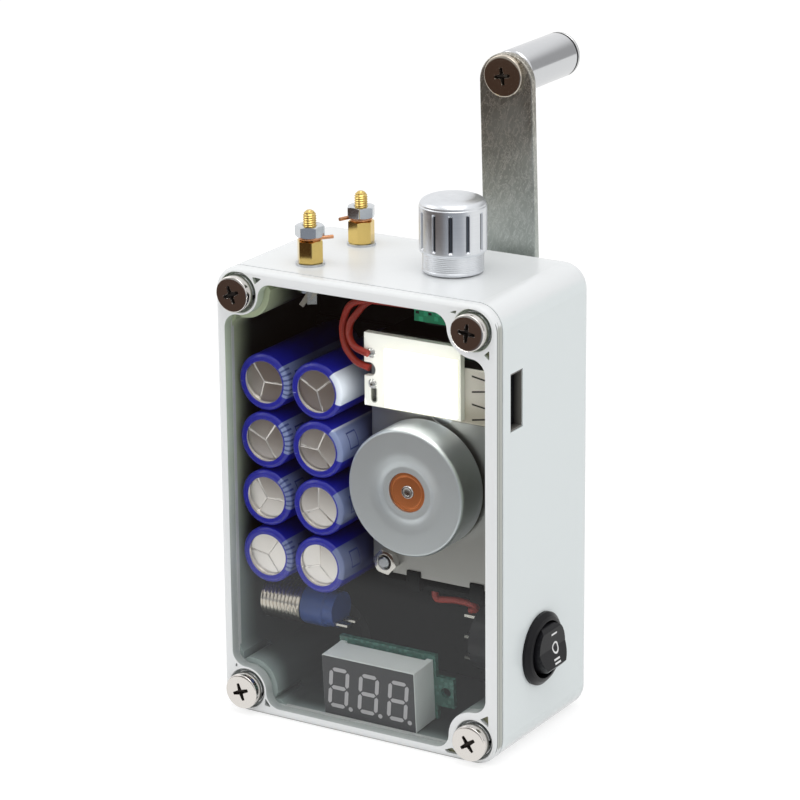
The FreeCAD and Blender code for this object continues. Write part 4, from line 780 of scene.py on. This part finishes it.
WELLS = [(side * SCREW_SIDE, MID_HEIGHT + end * SCREW_RISE) for side in (-1, 1) for end in (-1, 1)]
POCKETS = [rounded_corners(line, 0.35) for line in (
    [(29.9, 10.3), (31.9, 11.5), (32.0, 8.9)], [(21.3, 1.7), (23.3, 2.5), (24.5, 1.15), (22.0, 1.15)],
    [(-24.7, 98.5), (-22.4, 98.4), (-24.1, 96.9)], [(-23.7, 3.9), (-22.3, 2.1), (-23.9, 2.2)],
    [(23.0, 97.8), (24.7, 98.4), (24.5, 97.6)], [(31.0, 89.9), (32.3, 91.0), (32.3, 88.9)],
    [(-31.4, 9.8), (-30.6, 9.9), (-31.0, 10.8)])]
SEAT, POCKET_FLOOR = -18.4, -19.1  # depths of the screw wells' and the pockets' floors


def lid_shapes():
    """The lid frame's faces and walls, each with its marks: how far it is a lip, and a pocket floor."""
    border = [oblong(d - HALF_WIDTH, HALF_WIDTH - d, d, HEIGHT - d, 5.5 - d, 12)
              for d in (0.9, 0.45, 0.12, 0.0, 0.0, 0.12)]
    wide_wells, narrow_wells = ([ring_line(x, z, radius) for x, z in WELLS] for radius in (4.55, 2.1))
    plain = (0.0, 0.0)
    yield faced([border[0], window_line(0.2), *wide_wells, *POCKETS], LID_FRONT), plain
    yield walls(*zip(border, (LID_FRONT, -19.88, -19.55, -19.1, -17.72, LID_BACK))), plain
    yield walls((window_line(0.2), LID_FRONT), (window_line(0.06), -19.94)), plain
    yield walls((window_line(0.06), -19.94), (window_line(), -19.8), (window_line(), LID_BACK)), (1.0, 0.0)
    for x, z in WELLS:
        steps = ((4.55, LID_FRONT), (4.4, -19.85), (4.4, SEAT), (2.1, SEAT), (2.1, LID_BACK))
        yield walls(*((ring_line(x, z, radius), depth) for radius, depth in steps)), (0.8, 0.0)
    for line in POCKETS:
        yield walls((line, LID_FRONT), (line, POCKET_FLOOR)), (0.6, 0.0)
        yield faced([line], POCKET_FLOOR), (0.0, 1.0)
    yield faced([border[-1], window_line(), *narrow_wells], LID_BACK), plain


lid = list(lid_shapes())
piece("lid_surround", [shape for shape, _ in lid], lid_white(), "case", "case_plastic", ["lid_frame"], sharp=38.0,
      uv=[np.tile(mark, (len(shape[0]), 1)) for shape, mark in lid])

SCREWS = [(x, z, turn) for (x, z), turn in zip(WELLS, (0.35, 0.4, 0.62, -0.1))]
# The last colour is painted shade in the cross recess.
screw_nickel = recessed_metal(
    "screw_nickel", lambda x, z: (abs(x) - SCREW_SIDE, abs(z - MID_HEIGHT) - SCREW_RISE), 0.3, (2.7, 2.5),
    (-22.40, -22.25), (shaded((0.80, 0.765, 0.73), 0.94), (0.80, 0.765, 0.73), (0.05, 0.04, 0.035)),
    (0.10, 0.04, 0.25, 0.35))
piece("lid_screw_heads", [recessed_head((x, LID_FRONT, z), 3.9, 2.6, 0.2, 1.95, 1.95, 14.0, turn)
                          for x, z, turn in SCREWS], screw_nickel, "case", "nickel_steel", ["lid_screws"])
washers = []
for x, z, turn in SCREWS:
    washers.append(turned((x, SEAT, z), OUT, [(2.1, 0.0), (3.95, 0.0, 0.12), (4.0, 0.3, 0.15), (3.9, 0.6, 0.12),
                                              (2.1, 0.6), (2.1, 0.0)]))
    washers.append(spring_ring((x, SEAT - 0.6, z), 2.1, 3.7, 0.02, 0.98, turn - 0.6))
piece("lid_washer_stacks", washers, metal("washer_zinc", (0.78, 0.79, 0.80), 0.2, 2400.0, 4, 0.8),
      "case", "zinc_steel", ["lid_washers"])


# ---------------------------------------------------------------- capacitors
def can_end(x, z, arms, seed):
    """Can end: three pressed score lines from the middle, r |sin(angle - arm)| < width, with faces tipped apart."""
    angle = ring_angles(150)[None, :]
    span = np.linspace(0, 4.75, 46)[:, None]
    arms = np.sort(np.array(arms) % TURN)
    depth = 0.0
    for arm in arms:
        distance = np.where(np.cos(angle - arm) > 0, np.abs(span * np.sin(angle - arm)), span)
        depth = np.maximum(depth, np.clip(1 - distance / 0.17, 0, 1) * 0.12 * (span < 4.6))
    sector = np.searchsorted(arms, angle % TURN) % 3
    chance = np.random.default_rng(seed)
    lean_x, lean_z = chance.uniform(-0.035, 0.035, 3)[sector], chance.uniform(-0.03, 0.03, 3)[sector]
    first, second, _ = axis_frame(OUT)
    upward = first[2] * np.cos(angle) + second[2] * np.sin(angle)
    bulge = 0.1 * (1 - (span / 4.8) ** 2)
    level = bulge - 0.36 - depth + span * (0.075 * upward + lean_x * np.cos(angle) + lean_z * np.sin(angle))
    side = softened([(4.75, -0.02), (5.6, -0.06, 0.2), (6.02, -0.8, 0.4), (6.02, -29.6), (0, -29.6)], 4)
    middle = (x, -16.32, z)
    return skin(np.concatenate([around(middle, OUT, span, level, angle),
                                around(middle, OUT, side[:, :1], side[:, 1:], angle)]))


def sleeve(x, z, stripe_angle):
    """Shrink sleeve: a rolled lip, a straight wall and a turned-in back edge, and its unrolled (turn, length)."""
    line = softened([(4.62, -0.10), (4.72, 0.0, 0.06), (5.5, 0.10, 0.2), (6.25, -0.35, 0.75), (6.25, -29.6, 0.3),
                     (5.4, -30.0), (5.4, -29.8)], 7)
    around_turn = ring_angles(96)[None, :]
    travel = np.concatenate([[0], np.cumsum(np.hypot(*np.diff(line, axis=0).T))])[:, None]
    flat = np.broadcast_arrays(around_turn / TURN, travel / travel[-1])
    grid = around((x, -16.5, z), OUT, line[:, :1], line[:, 1:], around_turn + stripe_angle + math.pi)
    return skin(grid), np.stack(flat, -1).reshape(-1, 2)


def lid_angle(direction):
    """Angle of a direction (x, z) in the plane of the lid, for pieces turned about the outward axis."""
    first, second, _ = axis_frame(OUT)
    spot = np.array([direction[0], 0.0, direction[1]])
    return math.atan2(spot @ second, spot @ first)


VENTS = [[(-1, 1.5), (1, 0), (-0.35, -1)], [(-1, 0.45), (0.7, 1), (0.55, -1)], [(-0.55, 1), (1, 0.0), (-0.7, -1)],
         [(-1, 0.15), (0.75, 1), (0.65, -1)], [(-1, 0.55), (1, 0.8), (0.25, -1)], [(-1, 0.05), (0.5, 1), (0.8, -1)],
         [(0.0, 1), (-1, -0.5), (1, -0.8)], [(0.1, 1), (-1, -0.3), (0.9, -1)]]
PLACES = [(-24.7 + 13.1 * column, 74.5 - 12.95 * row) for column in range(2) for row in range(4)]
ends = [can_end(x, z, [lid_angle(way) for way in VENTS[k]], 11 + k) for k, (x, z) in enumerate(PLACES)]
sleeves = [sleeve(x, z, lid_angle((1, 0)) + 0.22 + 0.1 * (k % 3 - 1)) for k, (x, z) in enumerate(PLACES)]
piece("capacitor_can_set", ends, can_top_metal(), "case", "can_aluminium", ["capacitor_cans"], sharp=22.0)
piece("capacitor_sleeve_set", [shape for shape, _ in sleeves], sleeve_blue(), "case", "blue_sleeve",
      ["capacitor_sleeves"], sharp=60.0, uv=[flat for _, flat in sleeves], mend=False)


# ---------------------------------------------------------------- generator bell
piece("generator_bell", [turned(BELL, BACK, [
    (4.35, -15.0), (4.35, -15.1), (5.75, -15.1, 0.35), (6.8, -15.6, 0.5), (8.5, -15.96, 0.9), (13.35, -16.0, 0.12),
    (13.65, -15.85, 0.1), (14.0, -15.3, 0.3), (14.0, -7.6), (13.0, -7.6), (13.0, -14.2), (8.0, -14.95),
    (4.35, -14.15), (4.35, -15.0)], 160, 8)],
      turned_metal("bell_satin", (0.80, 0.84, 0.86), 0.50, BELL, 0.35, 1.5, 0.975, 0.03),
      "rotor", "zinc_steel", ["rotor_bell"], sharp=50.0)
piece("bell_hub", [turned(BELL, BACK, [
    (1.5, -14.8), (3.35, -14.8, 0.05), (3.45, -14.72, 0.04), (3.6, -14.72, 0.04), (3.7, -14.8, 0.05),
    (4.2, -14.78, 0.12), (4.35, -14.6, 0.08), (4.35, -13.8), (1.5, -13.8)], 96, 4)],
      turned_metal("hub_copper", (0.80, 0.27, 0.10), 0.42, BELL, 0.6, 3, 0.85), "rotor", "copper", ["rotor_hub"])
piece("bell_shaft_end", [turned(BELL, BACK, [
    (0.0, -14.78), (0.75, -14.8, 0.05), (0.85, -15.05, 0.08), (1.25, -15.1, 0.15), (1.5, -14.8, 0.1), (1.5, -0.6),
    (0.0, -0.6)], 64, 4)],
      turned_metal("shaft_steel", (0.62, 0.60, 0.58), 0.2, BELL, 0.3, 4), "rotor", "zinc_steel", ["rotor_shaft"])

nuts = []
for x, z, turn in ((-0.2, 35.9, 12), (27.6, 35.9, 30), (-1.0, 83.43, 0), (27.6, 83.43, 20)):
    nuts.append(hexagon_nut((x, -6.5, z), OUT, 5.0, 2.0, 1.5, math.radians(turn), 0.45))
    nuts.append(turned((x, -6.5, z), OUT, [(0.0, 0.9), (0.55, 0.85, 0.2), (0.85, 0.5, 0.1), (0.85, 0.0),
                                           (0.0, 0.0)], 32))
piece("plate_nuts", nuts, bright_nickel, "case", "zinc_steel", ["gearbox_nuts"], sharp=28.0)


# ---------------------------------------------------------------- knob
def grooved_knob():
    """Turned knob: a profile of (radius, height), less twelve upright grooves, deep near each twelfth of a turn."""
    profile = [(3.1, 101.4), (5.5, 101.4), (5.5, 100.3), (6.3, 100.3, 0.1), (6.45, 100.5), (6.45, 100.9)]
    profile += [(6.38 + 0.07 * (k % 2), 101.0 + 0.2 * k) for k in range(17)]
    profile += [(6.45, 104.5), (6.4, 104.62), (6.75, 104.66), (7.0, 104.7, 0.1), (7.1, 104.95, 0.1), (7.1, 105.35)]
    profile += [(7.1, 105.5 + 0.26 * k) for k in range(31)]
    profile += [(7.1, 113.6), (7.1, 114.3, 0.2), (6.95, 114.45, 0.1), (6.95, 114.8, 0.15), (6.45, 115.5, 0.45),
                (5.0, 116.1, 0.6), (2.5, 116.38, 0.6), (0.0, 116.42)]
    line = softened(profile, 3)
    radius, height, angle = line[:, :1], line[:, 1:], ring_angles(288)[None, :]
    within = np.abs(((angle + 0.063) / TURN * 12 + 0.5) % 1.0 - 0.5) / 12 * TURN * 7.1
    along = np.clip((height - 105.4) / 0.25, 0, 1) * np.clip((113.5 - height) / 0.35, 0, 1)
    cut = 0.5 * np.clip((0.42 - within) / 0.14, 0, 1) * along * (radius > 6.9)
    return skin(around((KNOB_X, 0.0, 0.0), UP, radius - cut, height, angle))


piece("volume_knob", [grooved_knob()], knob_metal(), "knob", "turned_aluminium", ["control_knob"], sharp=28.0)


# ---------------------------------------------------------------- binding posts
studs, nuts, standoffs, loops = [], [], [], []
for x, y, spacer_turn, nut_turn, heading in ((-16.6, -10.0, 20, 5, 8), (-15.6, 8.7, 45, 35, 208)):
    studs.append(threaded((x, y, 0), UP, 93.0, 111.7, 1.45, 0.5, 0.2, 48, 0.3, 1.3))
    nuts += [hexagon_nut((x, y, level), UP, 5.5, 2.4, 1.45, math.radians(nut_turn)) for level in (106.1, 94.2)]
    standoffs.append(hexagon_nut((x, y, 100.5), UP, 5.0, 4.8, 1.45, math.radians(spacer_turn), 0.4))
    turn = np.linspace(0, 1.12 * TURN, 60) + math.radians(heading) - 0.9
    ring = np.column_stack([arc_line(x, y, np.linspace(1.85, 2.1, 60), turn), 105.5 + np.linspace(0, 0.42, 60)])
    cosine, sine = math.cos(turn[-1]), math.sin(turn[-1])
    way = 0.75 * np.array([-sine, cosine, 0.0]) + 0.6 * np.array([cosine, sine, 0.0])
    tail = ring[-1] + np.array([0.6, 1.6, 3.4])[:, None] * way
    loops.append(swept(smooth_path(np.vstack([ring[::4], tail]), 6), 0.4, 14))
piece("post_threads", studs, bright_brass, "case", "brass", ["post_studs"], sharp=25.0)
piece("post_hexagon_nuts", nuts, metal("nut_zinc", (0.72, 0.75, 0.78), 0.16, 2000.0, 3, 0.85),
      "case", "zinc_steel", ["post_nuts"])
piece("post_spacers", standoffs, bright_brass, "case", "brass", ["post_standoffs"])
piece("post_copper_wires", loops, metal("raw_copper", (0.74, 0.36, 0.19), 0.28, 1200.0, 6, 0.7),
      "case", "copper", ["post_wire_loops"], sharp=60.0)

joints = [turned((x, -15.9, z), OUT, [(0.0, 0.62), (0.35, 0.6, 0.2), (0.75, 0.35, 0.3), (1.1, 0.02), (1.1, -0.1),
                                      (0.0, -0.1)], 32) for x, z in ((1.76, 84.9), (2.05, 78.2))]
piece("light_solder_joints", joints, metal("solder_tin", (0.80, 0.79, 0.76), 0.18, 1500.0, 10, 0.7),
      "case", "tinned_steel")
strips = []
wide, thick = np.array([0.5, 0.0, -0.25]), np.array([0.0, 0.22, 0.0])
for shift, low in ((0.0, 0.0), (1.3, 0.9)):
    path = smooth_path([(-12.9 + shift, -14.3, 97.1), (-13.4 + shift, -14.6, 96.0), (-14.8 + shift, -15.0, 93.6 + low),
                        (-15.6 + shift, -15.2, 92.4 + low)], 8)
    strips.append(capped(np.stack([path + a * wide + b * thick for a, b in ((-1, -1), (1, -1), (1, 1), (-1, 1))], 1)))
strips.append(slab([(-15.6, 96.85), (-13.1, 96.85), (-13.1, 97.15), (-15.6, 97.15)], -14.6, -9.0))
piece("lug_strips", strips, metal("cream_tin", (0.88, 0.85, 0.76), 0.35, 1400.0, 6, 0.75), "case", "tinned_steel",
      sharp=40.0)


# ---------------------------------------------------------------- crank arm and handle
BAR_FRONT, BAR_BACK, BAR_HALF = 23.0, 24.8, 6.35
GRIP = (CRANK[0], 0.0, CRANK[2] + THROW)


def crank_piece(name, shape, *rest, **settings):
    """A piece of the crank, drawn upright and then leaned with the arm."""
    piece(name, [leaned(shape, CRANK, BACK, -1.4)], *rest, **settings)


half_turn = np.linspace(0, math.pi, 40)
outline = np.vstack([arc_line(CRANK[0], CRANK[2] + THROW + 4.7 - BAR_HALF, BAR_HALF, half_turn),
                     arc_line(CRANK[0], CRANK[2], -BAR_HALF, half_turn)])
crank_piece("crank_bar", slab(outline, BAR_FRONT, BAR_BACK), scratched_plate(), "crank", "scratched_steel",
            ["crank_arm"], bevel=0.3)
# The last colour is painted shade in the cross recess.
pivot_nickel = recessed_metal(
    "pivot_nickel", lambda x, z: (x - HANDLE[0], z - HANDLE[2]), 0.4, (2.5, 2.3), (21.66, 21.78),
    ((0.62, 0.55, 0.46), (0.72, 0.65, 0.56), (0.06, 0.045, 0.035)), (0.12, 0.05, 0.2, 0.3))
crank_piece("handle_pivot_screw", recessed_head((GRIP[0], BAR_FRONT, GRIP[2]), 4.5, 1.5, 0.16, 1.85, 2.2, 23.9, 0.15),
            pivot_nickel, "crank", "nickel_steel", ["handle_screw"])
crank_piece("handle_barrel", turned(GRIP, BACK, [(2.25, 25.5), (4.4, 25.5, 0.1), (4.9, 25.9, 0.3), (4.9, 45.5, 0.3),
                                                 (4.7, 45.9, 0.1), (2.25, 45.9), (2.25, 25.5)]),
            turned_metal("grip_satin", (0.70, 0.71, 0.73), 0.15, HANDLE, 0.3, 3, 0.93, 0.05),
            "handle", "nickel_steel", ["handle_grip"])
crank_piece("handle_cap_disc", turned(GRIP, BACK, [(2.3, 46.2), (4.6, 46.2, 0.1), (4.9, 46.4, 0.2), (4.9, 46.9, 0.3),
                                                   (4.5, 47.2, 0.2), (0.0, 47.2)]),
            turned_metal("cap_satin", (0.80, 0.80, 0.80), 0.2, HANDLE), "crank", "nickel_steel", ["handle_end_cap"])
crank_piece("handle_gap_ring", turned(GRIP, BACK, [(2.35, 45.92), (4.86, 45.92), (4.86, 46.18), (2.35, 46.18),
                                                   (2.35, 45.92)], 72), black_matt, "crank", "black_plastic")


# ---------------------------------------------------------------- voltmeter
METER = np.array([0.85, -16.55, 2.05])
LEFT, RIGHT_END, FACE, FOOT, TOP = METER[0] - 11.5, METER[0] + 11.5, METER[1], METER[2], METER[2] + 13.9


def meter_piece(name, shapes, *rest, **settings):
    """A piece of the voltmeter, drawn upright and then leaned back with it."""
    piece(name, [leaned(shape, METER, RIGHT, 4.0) for shape in shapes], *rest, **settings)


def segment(x, z, upright):
    """One bar of a digit: a long hexagon pointed at both ends."""
    end, side = (3.75 if upright else 3.6) / 2, 0.45
    shape = np.array([(-end, 0), (side - end, -side), (end - side, -side), (end, 0), (end - side, side),
                      (side - end, side)])
    if upright:
        shape = shape[:, ::-1] * (1, -1)
    return shape[::-1] + (x, z)


DIGIT_Z, DIGIT_SLANT = 8.75, 0.11
bars = []
for middle in (-6.7, 0.75, 8.1):
    for x, z, upright in ((0, 4.3, 0), (0, 0, 0), (0, -4.3, 0), (-2.05, 2.15, 1), (2.05, 2.15, 1), (-2.05, -2.15, 1),
                          (2.05, -2.15, 1)):
        bar = segment(x, z, upright)
        bars.append(bar + bar[:, 1:] * (DIGIT_SLANT, 0) + (middle, DIGIT_Z))
    bars.append(arc_line(middle + 2.75, DIGIT_Z - 4.5, 0.52, ring_angles(20)))
meter_piece("meter_digits", [slab(bar, FACE - 0.03, FACE + 0.02) for bar in bars],
            plastic("segment_grey", (0.42, 0.41, 0.42), 0.38, 0.03, 2600.0, 4), "case", "meter_grey")
meter_piece("meter_shell", [slab(oblong(LEFT, RIGHT_END, FOOT, TOP, 0.2), FACE + 0.12, FACE + 7.2)]
            + [slab(oblong(x, x + 1.5, FOOT, TOP, 0.1), FACE + 7.1, FACE + 8.1) for x in (LEFT, RIGHT_END - 1.5)],
            meter_grey, "case", "meter_grey", ["meter_case"], bevel=0.1)
pane = oblong(LEFT + 0.12, RIGHT_END - 0.12, FOOT + 0.12, TOP - 0.12, 0.15)
meter_piece("meter_face", [slab(pane, FACE, FACE + 0.4)],
            plastic("meter_dark", (0.022, 0.022, 0.026), 0.34, 0.04, 2600.0, 8), "case", "meter_glass",
            ["meter_window"], bevel=0.04)


# ---------------------------------------------------------------- push button barrel
piece("button_threads", [threaded((0, -4.0, 21.0), RIGHT, -37.3, -22.0, 4.7, 0.95, 0.5, 96, 3.0, 0.4)],
      metal("button_nickel", (0.72, 0.66, 0.58), 0.16, 1500.0, 4, 0.8), "case", "nickel_steel", ["button_barrel"],
      sharp=50.0)


# ---------------------------------------------------------------- light, floor and surroundings
def make_world():
    """White to the eye; a pale studio for the rest, darker low in front, where the room is."""
    world = bpy.data.worlds.new("studio")
    bpy.context.scene.world = world
    studio = Finish("studio", world)
    eye, glossy = [studio.node("LightPath", out=f"Is {kind} Ray") for kind in ("Camera", "Glossy")]
    x, y, z = studio.split(studio.node("TexCoord", out="Generated"))
    front = (-y).rise(0.35, 0.9) * z.rise(0.9, 0.5)
    behind = y.rise(0.55, 0.8) * z.rise(0.62, 0.30) * x.rise(-0.25, 0.25)
    seen = 0.95 - front * 0.55 - behind * 0.52
    level = studio.node("MapRange", {"Value": glossy, "To Min": 0.84, "To Max": seen})
    strength = studio.node("MapRange", {"Value": eye, "To Min": level, "To Max": 1.0})
    studio.close(studio.node("Background", {"Color": (1.0, 1.0, 1.0), "Strength": strength}), "OutputWorld")


def make_floor():
    """Pale floor: it keeps the shadow, and gloss sees it white near the box and dark where the room begins."""
    finish = Finish("pale_floor")
    eye, glossy, passing = [finish.node("LightPath", out=f"Is {kind} Ray")
                            for kind in ("Camera", "Glossy", "Transmission")]
    x, y, _ = finish.axes()
    far = finish.blend(x.rise(-60.0, 90.0), (0.072, 0.046, 0.036), (0.30, 0.32, 0.36))
    mirrored = finish.node("Emission", {"Color": finish.blend(y.rise(-118.0, -90.0), far, (0.93, 0.93, 0.92))})
    lit = finish.node("BsdfDiffuse", {"Color": (0.80, 0.80, 0.80)})
    pale = finish.node("AddShader", [finish.node("BsdfDiffuse", {"Color": (0.35, 0.35, 0.35)}),
                                     finish.node("Emission", {"Color": (0.72, 0.72, 0.72)})])
    other = finish.node("MixShader", [glossy.most(passing), lit, mirrored])
    mesh = bpy.data.meshes.new("floor")
    mesh.from_pydata([(-3, -3, 0), (3, -3, 0), (3, 3, 0), (-3, 3, 0)], [], [(0, 1, 2, 3)])
    mesh.materials.append(finish.close(finish.node("MixShader", [eye, other, pale])))
    floor = bpy.data.objects.new("floor", mesh)
    bpy.context.scene.collection.objects.link(floor)
    floor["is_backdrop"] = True


def make_lamp(name, place, way, wide, tall, power):
    """A soft lamp that shines one way; its place and sizes are in metres."""
    light = bpy.data.lights.new(name, "AREA")
    light.shape, light.size, light.size_y, light.energy = "RECTANGLE", wide, tall, power
    lamp = bpy.data.objects.new(name, light)
    bpy.context.scene.collection.objects.link(lamp)
    lamp.matrix_world = Matrix.Translation(place) @ way.to_track_quat("-Z", "Y").to_matrix().to_4x4()
    return lamp


make_world()
make_floor()
# Small unseen lamps, in millimetres, carry the lit face's light to what stands beside it.
for name, place, way, wide, tall, power, gloss in (
        ("glow_down", (12.0, -12.6, 73.2), (0, 0, -1), 20.0, 3.0, 0.0009, True),
        ("glow_left", (-0.4, -15.8, 77.0), (-1, 0.2, -0.25), 2.0, 7.0, 0.00022, False),
        ("glow_front", (11.9, -17.4, 81.0), (0, 1, 0), 24.0, 17.0, 0.0006, False)):
    glow = make_lamp(name, Vector(place) * MM, Vector(way), wide * MM, tall * MM, power)
    glow.data.color, glow.visible_camera, glow.visible_glossy = (1.0, 0.98, 0.92), False, gloss
# The studio's lamps look at the middle of the box, in metres.
MID_LIGHT = 0.06
for name, place, power, size in (("overhead", (0.25, -0.25, 1.1), 3.2, 0.8),
                                 ("left_side", (-0.9, -0.5, 0.8), 1.6, 0.6)):
    make_lamp(name, Vector(place), Vector((0.0, 0.0, MID_LIGHT)) - Vector(place), size, size, power)
bpy.context.scene.view_settings.view_transform = "Standard"

low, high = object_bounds()
({"cad": [[float(v) for v in cad_low], [float(v) for v in cad_high]],
           "visual": [[float(v) for v in low], [float(v) for v in high]]})
